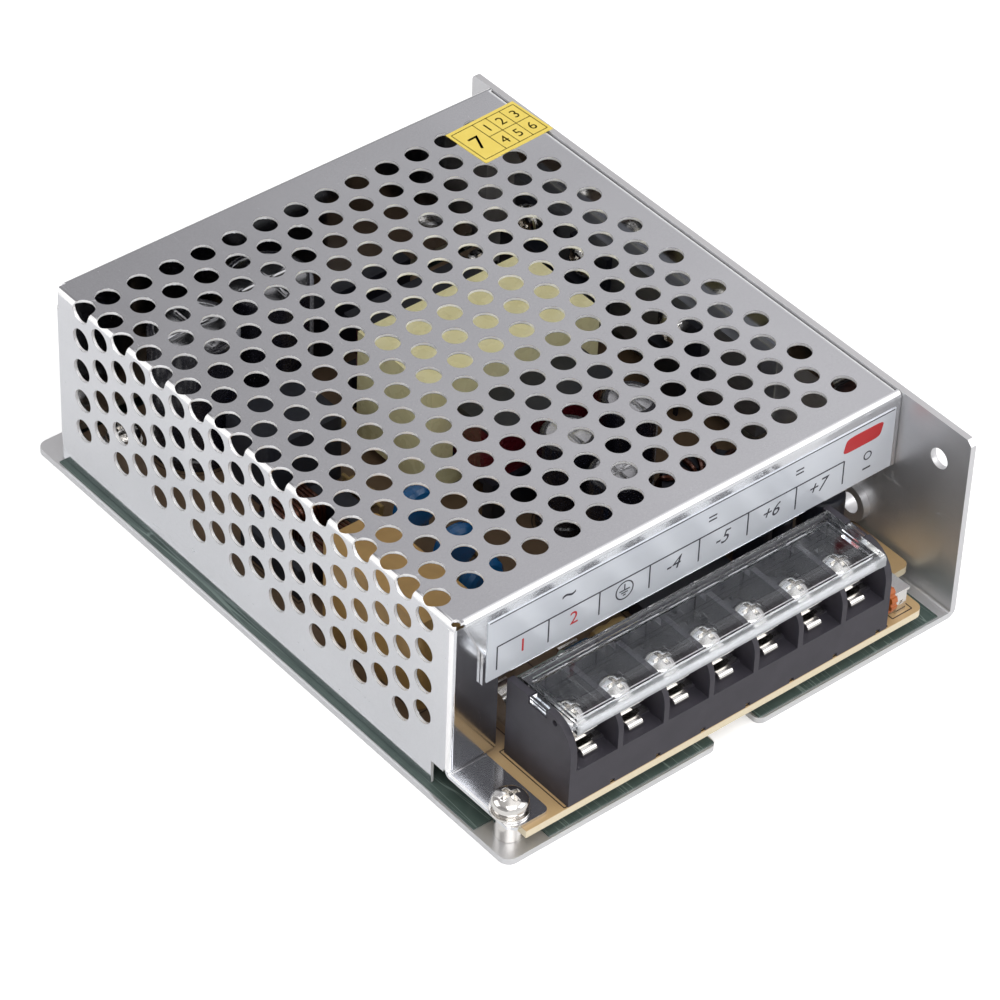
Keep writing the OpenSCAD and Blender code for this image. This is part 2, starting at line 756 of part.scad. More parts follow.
module terminal_block() color("dimgray") in_case() {
    difference() {
        union() {
            translate([block_left, block_y0, board_top]) cube([block_w, block_l, floor_h]);
            translate([block_left, block_y0 + shelf_in, board_top])
                cube([block_w, block_l - shelf_in, shelf_h]);
            translate([block_left, block_y1 - back_wall_t, board_top])
                cube([block_w, back_wall_t, back_wall_h]);
            for (i = [1 : poles - 1]) along_x(pole_x(i) + pole_w / 2, pole_x(i) + pole_w / 2 + barrier_t)
                polygon(barrier_pts(barrier_h, 0, true));
            for (x = [block_left, block_x1 - end_wall_t]) along_x(x, x + end_wall_t)
                polygon(barrier_pts(end_wall_h, end_wall_fall, false));
        }
        for (i = [1 : poles]) translate([pole_x(i), 0, board_top]) {
            translate([0, screw_y, shelf_h - well_l]) cylinder(d = well_d, h = well_l + over);
            translate([-leg_w / 2 - leg_gap, block_y0 + shelf_in + contact_l - leg_t - leg_gap, -over])
                cube([leg_w + 2 * leg_gap, leg_t + 2 * leg_gap, shelf_h + 2 * over]);
            translate([window_side - window_w / 2, block_y1 - back_wall_t - over, shelf_h])
                cube([window_w, back_wall_t + 2 * over, window_h]);
        }
        for (i = [1 : poles])
            translate([pole_x(i) + pole_pitch / 2 - foot_cut_side - foot_cut_w / 2, block_y0 - over,
                board_top - over]) cube([foot_cut_w, foot_cut_l + over, foot_cut_h + over]);
        for (x = [block_left, block_x1 - end_wall_t]) {
            translate([x - over, block_y0 + lug_in - lug_gap, lid_top - lug_drop - lug_h - lug_gap])
                cube([end_wall_t + 2 * over, lug_l + 2 * lug_gap, end_wall_h]);
            translate([x - over, block_y0 + catch_in, board_top + catch_h]) rotate([0, 90, 0])
                cylinder(d = catch_d, h = end_wall_t + 2 * over);
        }
        for (x = [lid_x0 - part_gap - pin_l - run_gap, lid_x1 + part_gap - over])
            translate([x, hinge_y, hinge_z]) rotate([0, 90, 0])
                cylinder(d = pin_d + 2 * run_gap, h = pin_l + run_gap + over);
    }
}

// Bent contact: flat under the screw, lip over the shelf's front, leg down to the board
module terminal_contacts() color("silver") in_case() {
    y0 = block_y0 + shelf_in;
    z0 = board_top + shelf_h;
    for (i = [1 : poles]) translate([pole_x(i), 0, 0]) {
        difference() {
            translate([-contact_w / 2, y0, z0]) cube([contact_w, contact_l, contact_t]);
            translate([0, screw_y, z0 - over])
                cylinder(d = terminal_screw_d + 2 * run_gap, h = contact_t + 2 * over);
        }
        along_x(-tongue_w / 2, tongue_w / 2) polygon(concat([[y0, z0], [y0, z0 + contact_t]],
            arc_pts(y0 - tongue_out, z0, contact_t, 90, 180),
            [[y0 - tongue_out - contact_t, z0 + contact_t - tongue_h],
                [y0 - tongue_out, z0 + contact_t - tongue_h], [y0 - tongue_out, z0]]));
        translate([-leg_w / 2, y0 + contact_l - leg_t, board_top]) cube([leg_w, leg_t, shelf_h]);
    }
}

// Saddle plate under a screw head, its two ends raised
module clamp_plate(i) color("silver") in_case() translate([pole_x(i), screw_y, clamp_z]) {
    difference() {
        along_y(-clamp_l / 2, clamp_l / 2) polygon([
            [-clamp_w / 2, clamp_rise], [clamp_edge - clamp_w / 2, 0], [clamp_w / 2 - clamp_edge, 0],
            [clamp_w / 2, clamp_rise], [clamp_w / 2, clamp_t + clamp_rise],
            [clamp_w / 2 - clamp_edge, clamp_t], [clamp_edge - clamp_w / 2, clamp_t],
            [-clamp_w / 2, clamp_t + clamp_rise]]);
        translate([0, 0, -over]) cylinder(d = terminal_screw_d + 2 * run_gap, h = clamp_t + 2 * over);
    }
}
module clamp_plate_1() clamp_plate(1);
module clamp_plate_2() clamp_plate(2);
module clamp_plate_3() clamp_plate(3);
module clamp_plate_4() clamp_plate(4);
module clamp_plate_5() clamp_plate(5);
module clamp_plate_6() clamp_plate(6);
module clamp_plate_7() clamp_plate(7);

module terminal_screw(i) color("lightgray") in_case()
    translate([pole_x(i), screw_y, clamp_z + clamp_t + run_gap])
        pan_screw(terminal_shank_l, terminal_screw_d, terminal_head_d, terminal_head_h,
            terminal_washer_d, terminal_washer_t, terminal_washer_d, 0);
module terminal_screw_1() terminal_screw(1);
module terminal_screw_2() terminal_screw(2);
module terminal_screw_3() terminal_screw(3);
module terminal_screw_4() terminal_screw(4);
module terminal_screw_5() terminal_screw(5);
module terminal_screw_6() terminal_screw(6);
module terminal_screw_7() terminal_screw(7);

// Top of the lid's section, from its front lip over to its back edge
lid_crown_pts = concat(
    arc_pts(lid_y0 + lid_corner_r, lid_top - lid_corner_r, lid_corner_r, 180, 90),
    arc_pts(lid_y1 - lid_corner_r, lid_top - lid_corner_r, lid_corner_r, 90, 0));

module terminal_lid() color("aliceblue", 0.4) in_case() {
    y_rim = lid_y1 - back_rim_l;
    difference() {
        along_x(lid_x0, lid_x1) polygon(concat([[lid_y0, lid_z - lip_h]], lid_crown_pts,
            [[lid_y1, lid_z - rim_h], [y_rim, lid_z - rim_h], [y_rim, lid_z], [lid_y0 + lip_l, lid_z],
            [lid_y0 + lip_l, lid_z - lip_h]]));
        translate([lid_x0 + end_rim_t, lid_y0 + lip_l, lid_top - lid_hollow])
            cube([lid_x1 - lid_x0 - 2 * end_rim_t, y_rim - lid_y0 - lip_l, lid_hollow + over]);
    }
    for (x = [lid_x0, lid_x1 - end_rim_t]) along_x(x, x + end_rim_t) polygon(concat(
        [[lid_y0, lid_z - rim_h]], lid_crown_pts, [[lid_y1, lid_z - rim_h]]));
    for (x = [lid_x0 - part_gap - pin_l, lid_x1]) translate([x, hinge_y, hinge_z]) rotate([0, 90, 0])
        cylinder(d = pin_d, h = part_gap + pin_l);
    for (x = [block_left + sheet_gap, lid_x1])
        translate([x, block_y0 + lug_in, lid_top - lug_drop - lug_h])
            cube([end_wall_t + part_gap - sheet_gap, lug_l, lug_h]);
}

module label_strip() color("white") in_case() {
    z0 = case_h - label_flange_h + label_bottom;
    translate([label_left, cover_y0 - label_t, z0])
        cube([case_w - label_right - label_left, label_t, case_h - label_top - z0]);
}

module seal_sticker() color("gold") in_case() {
    translate([case_w, cover_y1 - sticker_back, case_h]) rotate(sticker_turn)
        translate([-sticker_w - sticker_right, -sticker_l / 2, 0]) cube([sticker_w, sticker_l, sticker_t]);
}

module transformer_core() color("khaki") in_case() on_board([transformer_x, transformer_y]) {
    window_w = (core_w - centre_leg_w) / 2 - core_leg_w;
    difference() {
        translate([-core_w / 2, -core_l / 2, core_lift]) cube([core_w, core_l, core_h - core_lift]);
        for (s = [-1, 1]) translate([s * (centre_leg_w + window_w) / 2 - window_w / 2, -core_l / 2 - over,
            core_lift + yoke_h]) cube([window_w, core_l + 2 * over, core_h - core_lift - 2 * yoke_h]);
    }
}

bobbin_z0 = core_lift + yoke_h + bobbin_gap;
bobbin_z1 = core_h - yoke_h - bobbin_gap;
bobbin_w = core_w - 2 * core_leg_w - 2 * bobbin_gap;
bobbin_l = core_l + 2 * bobbin_out;

module transformer_bobbin() color("dimgray") in_case() on_board([transformer_x, transformer_y]) {
    difference() {
        union() {
            for (z = [bobbin_z0, bobbin_z1 - bobbin_flange_t]) translate([-bobbin_w / 2, -bobbin_l / 2, z])
                cube([bobbin_w, bobbin_l, bobbin_flange_t]);
            translate([-centre_leg_w / 2 - bobbin_gap - bobbin_wall, -core_l / 2 - bobbin_gap - bobbin_wall,
                bobbin_z0]) cube([centre_leg_w + 2 * (bobbin_gap + bobbin_wall),
                core_l + 2 * (bobbin_gap + bobbin_wall), bobbin_z1 - bobbin_z0]);
            for (s = [-1, 1]) translate([-bobbin_w / 2, s * (bobbin_l - rail_l) / 2 - rail_l / 2, 0])
                cube([bobbin_w, rail_l, bobbin_z0 + bobbin_flange_t]);
        }
        translate([-centre_leg_w / 2 - bobbin_gap, -core_l / 2 - bobbin_gap, bobbin_z0 - over])
            cube([centre_leg_w + 2 * bobbin_gap, core_l + 2 * bobbin_gap, bobbin_z1 - bobbin_z0 + 2 * over]);
    }
}

module transformer_winding() color("brown") in_case() on_board([transformer_x, transformer_y]) {
    translate([0, 0, bobbin_z0 + bobbin_flange_t])
        linear_extrude(bobbin_z1 - bobbin_z0 - 2 * bobbin_flange_t) difference() {
            polygon(round_rect(bobbin_w - winding_in, bobbin_l - 2 * winding_in, winding_r));
            square([centre_leg_w + 2 * (bobbin_gap + bobbin_wall), core_l + 2 * (bobbin_gap + bobbin_wall)],
                center = true);
        }
}

module drive_transformer() color("khaki") in_case() on_board(drive_at) {
    linear_extrude(drive_size.z) polygon(round_rect(drive_size.x, drive_size.y, filter_r));
}

// Frame core of the mains choke: two long bars carry the coils, two short ones close the frame
module choke_core() color("dimgray") in_case() on_board(choke_at) {
    translate([0, 0, choke_lift - choke_bar / 2]) difference() {
        translate([-choke_size.x / 2, -choke_size.y / 2, 0]) cube([choke_size.x, choke_size.y, choke_bar]);
        translate([choke_bar - choke_size.x / 2, choke_bar - choke_size.y / 2, -over])
            cube([choke_size.x - 2 * choke_bar, choke_size.y - 2 * choke_bar, choke_bar + 2 * over]);
    }
    for (x = [-choke_size.x / 2, choke_size.x / 2 - choke_foot_w]) translate([x, -choke_size.y / 2, 0])
        cube([choke_foot_w, choke_size.y, choke_lift - choke_bar / 2]);
}

module choke_windings() color("peru") in_case() on_board(choke_at) {
    coil_l = choke_size.x - 2 * choke_bar - 2 * choke_coil_in;
    hole = choke_bar + 2 * choke_leg_gap;
    for (s = [-1, 1]) translate([-coil_l / 2, s * (choke_size.y - choke_bar) / 2, choke_lift])
        rotate([90, 0, 90]) linear_extrude(coil_l) difference() {
            square(hole + choke_coil_t, center = true);
            square(hole, center = true);
        }
}

// Radial can: rounded shoulder, crimp groove near its foot
module can(d, h) {
    r = d / 2;
    g = can_groove;
    rotate_extrude() polygon(concat([[0, 0], [r - g, 0], [r, g], [r, can_groove_up - g],
        [r - g, can_groove_up], [r, can_groove_up + g]],
        arc_pts(r - can_edge_r, h - can_edge_r, can_edge_r, 0, 90), [[0, h]]));
}

module bulk_capacitor_1() color("darkslategray") in_case() on_board(bulk_at[0]) can(bulk_d, bulk_h);
module bulk_capacitor_2() color("darkslategray") in_case() on_board(bulk_at[1]) can(bulk_d, bulk_h);

module output_capacitor(i) color("darkslategray") in_case()
    on_board([case_w - output_places[i].x, output_places[i].y]) can(output_cap_d, output_cap_h);
module output_capacitor_1() output_capacitor(0);
module output_capacitor_2() output_capacitor(1);
module output_capacitor_3() output_capacitor(2);

module small_capacitors() color("darkslategray") in_case() {
    for (c = small_cans) on_board([case_w - c[0], c[1]]) can(c[2], c[3]);
}

module output_inductor_core() color("dimgray") in_case() on_board([case_w - inductor_at.x, inductor_at.y]) {
    translate([0, 0, inductor_wire + inductor_gap]) difference() {
        cylinder(d = inductor_d - 2 * inductor_wire - 2 * inductor_gap, h = inductor_h);
        translate([0, 0, -over]) cylinder(d = inductor_hole, h = inductor_h + 2 * over);
    }
}

// One turn of heavy wire round the ring, drawn as a closed frame
module inductor_turn() {
    core_in = inductor_hole / 2 - inductor_gap;
    core_out = inductor_d / 2 - inductor_wire;
    h = inductor_h + 2 * inductor_gap;
    w = inductor_wire;
    difference() {
        translate([core_in - w, -w / 2, 0]) cube([core_out - core_in + 2 * w, w, h + 2 * w]);
        translate([core_in, -w / 2 - over, w]) cube([core_out - core_in, w + 2 * over, h]);
    }
}

module output_inductor_winding() color("peru") in_case()
    on_board([case_w - inductor_at.x, inductor_at.y]) {
        for (i = [0 : inductor_turns - 1]) rotate(360 * i / inductor_turns) inductor_turn();
    }

module mains_filter_capacitor() color("goldenrod") in_case() on_board(filter_at) {
    linear_extrude(filter_size.z) polygon(round_rect(filter_size.x, filter_size.y, filter_r));
}

// Disc on two wire legs, its face turned to the front
module leaded_disc(d, t) {
    for (s = [-1, 1]) translate([(s * disc_leg_pitch - disc_leg_w) / 2, -disc_leg_w / 2, 0])
        cube([disc_leg_w, disc_leg_w, disc_lift + disc_leg_in]);
    translate([0, 0, disc_lift + d / 2]) rotate([90, 0, 0]) rotate_extrude() polygon(concat(
        [[0, -t / 2]], arc_pts(d / 2 - t / 2, 0, t / 2, -90, 90), [[0, t / 2]]));
}

module disc_capacitors() color("steelblue") in_case() {
    for (p = disc_places) on_board(p) leaded_disc(disc_d, disc_t);
}

module inrush_thermistor() color("darkolivegreen") in_case() on_board(thermistor_at) {
    leaded_disc(thermistor_d, thermistor_t);
}

fuse_axis_h = fuse_lift + fuse_cap_d / 2;

module mains_fuse() color("lightcyan") in_case() on_board(fuse_at) {
    translate([0, 0, fuse_axis_h]) rotate([0, 90, 0]) {
        translate([0, 0, -fuse_l / 2]) cylinder(d = fuse_d, h = fuse_l);
        for (s = [-1, 1]) translate([0, 0, s * (fuse_l - fuse_cap_l) / 2 - fuse_cap_l / 2])
            cylinder(d = fuse_cap_d, h = fuse_cap_l);
    }
}

// Sprung cradles that grip the fuse's caps
module fuse_clips() color("silver") in_case() on_board(fuse_at) {
    r = fuse_cap_d / 2 + run_gap;
    for (x = [(fuse_cap_l - fuse_l) / 2, (fuse_l - fuse_cap_l) / 2]) along_x(x - clip_w / 2, x + clip_w / 2)
        difference() {
            union() {
                translate([0, fuse_axis_h]) circle(r + clip_t);
                translate([-r - clip_t, fuse_axis_h]) square([2 * (r + clip_t), clip_rise]);
                translate([-r, 0]) square([2 * r, fuse_axis_h]);
            }
            translate([0, fuse_axis_h]) circle(r);
            translate([-r, fuse_axis_h]) square([2 * r, fuse_axis_h]);
            translate([-r - clip_t - over, fuse_axis_h + clip_rise]) square(2 * (r + clip_t + over));
        }
}

module bridge_rectifier() color("dimgray") in_case() on_board(bridge_at) {
    along_y(-bridge_size.y / 2, bridge_size.y / 2) polygon([
        [-bridge_size.x / 2, bridge_lift], [bridge_size.x / 2, bridge_lift],
        [bridge_size.x / 2, bridge_lift + bridge_size.z],
        [bridge_cut - bridge_size.x / 2, bridge_lift + bridge_size.z],
        [-bridge_size.x / 2, bridge_lift + bridge_size.z - bridge_cut]]);
    for (k = [-3, -1, 1, 3]) translate([k * bridge_pitch / 2 - package_leg_w / 2, -package_leg_t / 2, 0])
        cube([package_leg_w, package_leg_t, bridge_lift]);
}

bar_x1 = wall_x - pad_t;
bar_x0 = bar_x1 - bar_t;

// Three-legged power package, its metal tab flat against the heat sink bar
module power_package() {
    translate([-tab_plate_t, -package_w / 2, package_lift]) difference() {
        cube([tab_plate_t, package_w, tab_plate_h]);
        translate([-over, package_w / 2, package_hole_up]) rotate([0, 90, 0])
            cylinder(d = screw_d + 2 * screw_gap, h = tab_plate_t + 2 * over);
    }
    translate([-tab_plate_t - package_t, -package_w / 2, package_lift])
        cube([package_t, package_w, package_h]);
    for (y = [-package_leg_pitch, 0, package_leg_pitch])
        translate([-tab_plate_t - package_t / 2, y - package_leg_w / 2, 0])
            cube([package_leg_t, package_leg_w, package_lift]);
}

module switching_transistors() color("dimgray") in_case() {
    for (y = transistor_ys) on_board([bar_x0, y]) power_package();
}

module output_rectifier() color("dimgray") in_case() on_board([bar_x0, rectifier_y]) power_package();

bar_screw_z = package_lift + package_hole_up;

module heat_sink_bar() color("lightgray") in_case() {
    difference() {
        translate([bar_x0, bar_y0, board_top + bar_lift]) cube([bar_t, bar_y1 - bar_y0, bar_h]);
        for (y = concat(transistor_ys, [rectifier_y])) on_board([bar_x0, y])
            translate([-over, 0, bar_screw_z]) rotate([0, 90, 0])
                cylinder(d = screw_d + 2 * run_gap, h = bar_t + 2 * over);
    }
}

module insulating_pad() color("whitesmoke") in_case() {
    translate([bar_x1, bar_y0, board_top + bar_lift]) cube([pad_t, bar_y1 - bar_y0, bar_h]);
}

module bar_screws() color("silver") in_case() {
    for (y = concat(transistor_ys, [rectifier_y])) on_board([bar_x0, y])
        translate([-tab_plate_t, 0, bar_screw_z]) rotate([0, -90, 0])
            pan_screw(bar_screw_l, screw_d, pan_head_d - screw_gap, bar_head_h, spring_washer_d,
                spring_washer_t, spring_washer_d, 0);
}

module control_chip() color("dimgray") in_case() on_board([case_w - chip_at.x, chip_at.y]) {
    half_l = chip_size.y / 2;
    translate([-chip_size.x / 2, -half_l, chip_lift]) cube(chip_size);
    for (k = [0 : chip_legs - 1], s = [-1, 1])
        translate([(k - (chip_legs - 1) / 2) * chip_leg_pitch - chip_leg_w / 2, 0, 0]) {
            translate([0, s * (half_l + chip_leg_out / 2) - chip_leg_out / 2, chip_lift + chip_size.z / 2])
                cube([chip_leg_w, chip_leg_out, chip_leg_t]);
            translate([0, s * (half_l + chip_leg_out) - (s + 1) * chip_leg_t / 2, 0])
                cube([chip_leg_w, chip_leg_t, chip_lift + chip_size.z / 2 + chip_leg_t]);
        }
}

// Axial resistor along X on two bent wires
module axial_resistor() {
    r = resistor_d / 2;
    l = resistor_l / 2;
    wire = resistor_wire / 2;
    translate([0, 0, resistor_lift]) rotate([0, 90, 0]) {
        rotate_extrude() polygon([[0, -l], [r, -l], [r + resistor_bulge, -l / 2], [r, 0],
            [r + resistor_bulge, l / 2], [r, l], [0, l]]);
        translate([0, 0, -resistor_span / 2]) cylinder(r = wire, h = resistor_span);
    }
    for (x = [wire - resistor_span / 2, resistor_span / 2 - wire])
        translate([x, 0, 0]) cylinder(r = wire, h = resistor_lift);
}

module resistors() color("tan") in_case() {
    for (p = resistor_places) on_board(p) rotate(p[2]) axial_resistor();
}

trimmer_at = [case_w - trimmer_x, trimmer_y];

// Phenolic block with a bent metal frame: plate on top, leg down at the front
module trimmer_body() color("silver") in_case() on_board(trimmer_at) {
    bx = wheel_t + part_gap;
    block_y = -trimmer_block.y / 2;
    translate([bx, 0, 0]) {
        difference() {
            translate([0, block_y, 0]) cube(trimmer_block);
            translate([-over, 0, trimmer_axis_h]) rotate([0, 90, 0])
                cylinder(d = wheel_shaft_d + 2 * run_gap, h = wheel_shaft_l + run_gap + over);
        }
        translate([0, block_y - trimmer_plate_t, trimmer_top_h - trimmer_plate_t])
            cube([trimmer_plate_w, trimmer_plate_l, trimmer_plate_t]);
        difference() {
            translate([(trimmer_plate_w - trimmer_leg_w) / 2, block_y - trimmer_plate_t, 0])
                cube([trimmer_leg_w, trimmer_plate_t, trimmer_top_h]);
            translate([(trimmer_plate_w - trimmer_window) / 2, block_y - trimmer_plate_t - over,
                trimmer_window_up]) cube([trimmer_window, trimmer_plate_t + over, trimmer_window]);
        }
    }
}

module trimmer_wheel() color("chocolate") in_case() on_board(trimmer_at) {
    translate([0, 0, trimmer_axis_h]) rotate([0, 90, 0]) {
        difference() {
            cylinder(d = wheel_d, h = wheel_t);
            for (i = [0 : wheel_notches - 1]) rotate(360 * i / wheel_notches)
                translate([wheel_d / 2, 0, -over]) cylinder(d = wheel_notch_d, h = wheel_t + 2 * over);
        }
        cylinder(d = wheel_shaft_d, h = wheel_t + part_gap + wheel_shaft_l);
    }
}

module indicator_lamp() color("green") in_case() on_board([case_w - lamp_right, lamp_y]) {
    r = lamp_d / 2;
    rotate_extrude() polygon(concat([[0, 0], [lamp_rim_d / 2, 0], [lamp_rim_d / 2, lamp_rim_h],
        [r, lamp_rim_h]], arc_pts(0, lamp_h, r, 0, 90)));
}

chassis();
cover();
insulating_sheet();
standoffs();
circuit_board();
mounting_screws();
cover_screws();
terminal_block();
terminal_contacts();
clamp_plate_1();
clamp_plate_2();
clamp_plate_3();
clamp_plate_4();
clamp_plate_5();
clamp_plate_6();
clamp_plate_7();
terminal_screw_1();
terminal_screw_2();
terminal_screw_3();
terminal_screw_4();
terminal_screw_5();
terminal_screw_6();
terminal_screw_7();
terminal_lid();
label_strip();
seal_sticker();
transformer_core();
transformer_bobbin();
transformer_winding();
drive_transformer();
choke_core();
choke_windings();
bulk_capacitor_1();
bulk_capacitor_2();
output_capacitor_1();
output_capacitor_2();
output_capacitor_3();
small_capacitors();
output_inductor_core();
output_inductor_winding();
mains_filter_capacitor();
disc_capacitors();
mains_fuse();
fuse_clips();
inrush_thermistor();
bridge_rectifier();
switching_transistors();
output_rectifier();
heat_sink_bar();
insulating_pad();
bar_screws();
control_chip();
resistors();
trimmer_body();
trimmer_wheel();
indicator_lamp();
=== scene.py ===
"""An enclosed power supply: folded sheet chassis, perforated cover, seven screw terminals under a clear lid."""

import math

import bmesh
import bpy
import numpy as np
from mathutils import Matrix, Vector


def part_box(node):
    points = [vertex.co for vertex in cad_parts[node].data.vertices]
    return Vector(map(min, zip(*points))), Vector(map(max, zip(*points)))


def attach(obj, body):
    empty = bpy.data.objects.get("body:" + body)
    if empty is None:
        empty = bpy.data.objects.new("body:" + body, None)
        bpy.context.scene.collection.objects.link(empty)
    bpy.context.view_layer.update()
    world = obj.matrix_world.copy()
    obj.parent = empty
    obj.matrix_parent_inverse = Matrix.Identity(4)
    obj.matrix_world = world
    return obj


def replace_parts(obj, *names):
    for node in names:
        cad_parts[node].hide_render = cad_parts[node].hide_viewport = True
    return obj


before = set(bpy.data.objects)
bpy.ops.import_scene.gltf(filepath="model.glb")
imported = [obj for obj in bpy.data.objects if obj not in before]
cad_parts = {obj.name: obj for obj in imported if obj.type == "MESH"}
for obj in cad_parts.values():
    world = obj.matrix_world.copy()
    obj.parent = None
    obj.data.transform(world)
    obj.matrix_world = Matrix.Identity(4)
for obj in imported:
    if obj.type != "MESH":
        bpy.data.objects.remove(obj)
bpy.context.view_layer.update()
scene = bpy.context.scene
scene.view_settings.view_transform = "Standard"


# Studio. A pale table under a wide tent of light, with a long lens looking down over the terminal
# end. None of it belongs to the power supply.
MM = 0.001

lens = bpy.data.cameras.new("long_lens")
lens.lens, lens.sensor_width = 165.21, 36.0
lens.clip_start, lens.clip_end = 0.05, 20.0
camera = bpy.data.objects.new("camera", lens)
scene.collection.objects.link(camera)
scene.camera = camera
aim = Vector((2.184, -0.7656, 0.3917))
seen = Matrix.Rotation(aim.length, 3, aim.normalized())
camera.matrix_world = Matrix((seen[0], -seen[1], -seen[2])).transposed().to_4x4()
camera.location = (-0.38723, -0.44809, 0.51824)


class Flow:
    """One socket of a material's nodes: sums on it add Math nodes, and node() adds any other kind."""

    def __init__(self, tree, socket):
        self.tree, self.socket = tree, socket

    def node(self, kind, settings=None, sockets=None, out=0):
        made = self.tree.nodes.new("ShaderNode" + kind)
        for key, value in (settings or {}).items():
            if key == "stops":
                ramp = made.color_ramp.elements
                while len(ramp) < len(value):
                    ramp.new(0.5)
                for stop, (place, colour) in zip(ramp, value):
                    stop.position, stop.color = place, (*colour, 1.0)
            else:
                setattr(made, key, value)
        for key, value in (sockets or {}).items():
            if isinstance(value, Flow):
                self.tree.links.new(value.socket, made.inputs[key])
            else:
                made.inputs[key].default_value = value
        return Flow(self.tree, made.outputs[out] if made.outputs else None)

    def math(self, operation, *values):
        return self.node("Math", {"operation": operation}, dict(enumerate(values)))

    def __add__(self, other):
        return self.math("ADD", self, other)

    def __sub__(self, other):
        return self.math("SUBTRACT", self, other)

    def __rsub__(self, other):
        return self.math("SUBTRACT", other, self)

    def __mul__(self, other):
        return self.math("MULTIPLY", self, other)

    def __truediv__(self, other):
        return self.math("DIVIDE", self, other)

    __radd__, __rmul__ = __add__, __mul__

    def __abs__(self):
        return self.math("ABSOLUTE", self)

    def clip(self, low, high):
        """Rises smoothly from 0 at low to 1 at high."""
        return self.node("MapRange", {"interpolation_type": "SMOOTHSTEP"},
                         {"Value": self, "From Min": low, "From Max": high})

    def axis(self, name):
        return self.node("SeparateXYZ", {}, {0: self}, "XYZ".index(name))

    def noise(self, scale, detail=3.0, rough=0.5, stretch=(1, 1, 1)):
        """Cloudy values about 1 / scale of a metre across, drawn out where stretch is small."""
        drawn = self.node("Mapping", {}, {"Vector": self, "Scale": stretch})
        return drawn.node("TexNoise", {}, {"Vector": drawn, "Scale": scale, "Detail": detail,
                                           "Roughness": rough})

    def scratches(self, scale, share, turn):
        """Thin lines where a drawn-out noise, turned by turn radians about Z, crosses its middle value."""
        drawn = self.node("Mapping", {}, {"Vector": self, "Rotation": (0, 0, turn), "Scale": (1, 0.04, 0.3)})
        cloud = drawn.node("TexNoise", {}, {"Vector": drawn, "Scale": scale, "Detail": 1.0})
        return 1 - abs(cloud - 0.5).clip(share * 0.5, share)

    def tint(self, a, b):
        """Colour a where this flow is 0, b where it is 1."""
        return self.node("Mix", {"data_type": "RGBA"}, {0: self, 6: rgb(a), 7: rgb(b)}, 2)

    def bump(self, strength, depth):
        return self.node("Bump", {}, {"Height": self, "Strength": strength, "Distance": depth})


def rgb(colour):
    """A colour given as a flow, as three shares, or as six hexadecimal figures of a printed shade."""
    if isinstance(colour, str):
        shares = [int(colour[k:k + 2], 16) / 255 for k in (0, 2, 4)]
        return (*[((s + 0.055) / 1.055) ** 2.4 if s > 0.04 else s / 12.92 for s in shares], 1.0)
    return colour if isinstance(colour, Flow) else (*colour, 1.0)


def finish(name, fixed, paint=None):
    """A material: fixed values on the shader's own sockets, and flows worked out from the place by paint()."""
    made = bpy.data.materials.new(name)
    made.use_nodes = True
    tree = made.node_tree
    shader = tree.nodes["Principled BSDF"]
    for socket, value in fixed.items():
        shader.inputs[socket].default_value = rgb(value) if isinstance(value, str) else value
    if paint:
        place = Flow(tree, tree.nodes.new("ShaderNodeTexCoord").outputs["Object"])
        for socket, flow in paint(place).items():
            tree.links.new(flow.socket, shader.inputs[socket])
    return made


def tent(world):
    """The world's light: bright low walls, a duller ceiling, dim at the back left, white to the camera."""
    world.use_nodes = True
    tree = world.node_tree
    tree.nodes.clear()
    start = Flow(tree, None)
    toward = start.node("TexCoord")
    up = toward.axis("Z")
    dim = 1.12 - (toward.axis("Y") - toward.axis("X")).clip(-0.1, 0.3) * 0.6
    shade = up.node("ValToRGB", {"stops": [(0.0, (0.74, 0.74, 0.75)), (0.26, (0.96, 0.96, 0.97)),
                                           (0.46, (0.74, 0.73, 0.74)), (0.70, (0.70, 0.68, 0.70)),
                                           (0.88, (1.20, 1.18, 1.18))]}, {"Fac": up})
    light = start.node("Background", {}, {"Color": shade, "Strength": dim * 0.88})
    white = start.node("Background", {}, {"Color": (1, 1, 1, 1), "Strength": 1.0})
    seen_by_eye = start.node("LightPath", {}, {}, "Is Camera Ray")
    both = start.node("MixShader", {}, {0: seen_by_eye, 1: light, 2: white})
    start.node("OutputWorld", {}, {"Surface": both})


def softbox(name, place, size, power):
    """A square lamp at place, size metres across and of power watts, turned to the middle of the table."""
    lamp = bpy.data.lights.new(name, "AREA")
    lamp.size, lamp.energy = size, power
    holder = bpy.data.objects.new(name, lamp)
    scene.collection.objects.link(holder)
    holder.location = place
    holder.rotation_euler = (-Vector(place)).to_track_quat("-Z", "Y").to_euler()


scene.world = scene.world or bpy.data.worlds.new("tent")
tent(scene.world)
softbox("lamp_over_left", (-0.75, 0.65, 0.6), 0.7, 3.0)
softbox("lamp_over_right", (0.65, -0.8, 0.72), 0.7, 3.2)
softbox("lamp_by_lens", (-0.32, -0.60, 0.92), 0.8, 5.0)

bpy.ops.mesh.primitive_plane_add(size=6.0, location=(0, 0, -0.05 * MM))
table = bpy.context.object
table.name = "table_top"
table_white = bpy.data.materials.new("table white")
table_white.use_nodes = True
table_white.node_tree.nodes.clear()
under = Flow(table_white.node_tree, None)
lit = under.node("BsdfDiffuse", {}, {"Color": (0.80, 0.80, 0.80, 1)})
glow = under.node("Emission", {}, {"Color": (1, 1, 1, 1), "Strength": 0.42})
shown = under.node("AddShader", {}, {0: lit, 1: glow})
cool = under.node("Emission", {}, {"Color": (0.80, 0.95, 1, 1), "Strength": 0.03})
mirrored = under.node("AddShader", {}, {0: lit, 1: cool})
by_gloss = under.node("LightPath", {}, {}, "Is Glossy Ray")
by_metal = under.node("MixShader", {}, {0: by_gloss, 1: lit, 2: mirrored})
by_eye = under.node("LightPath", {}, {}, "Is Camera Ray")
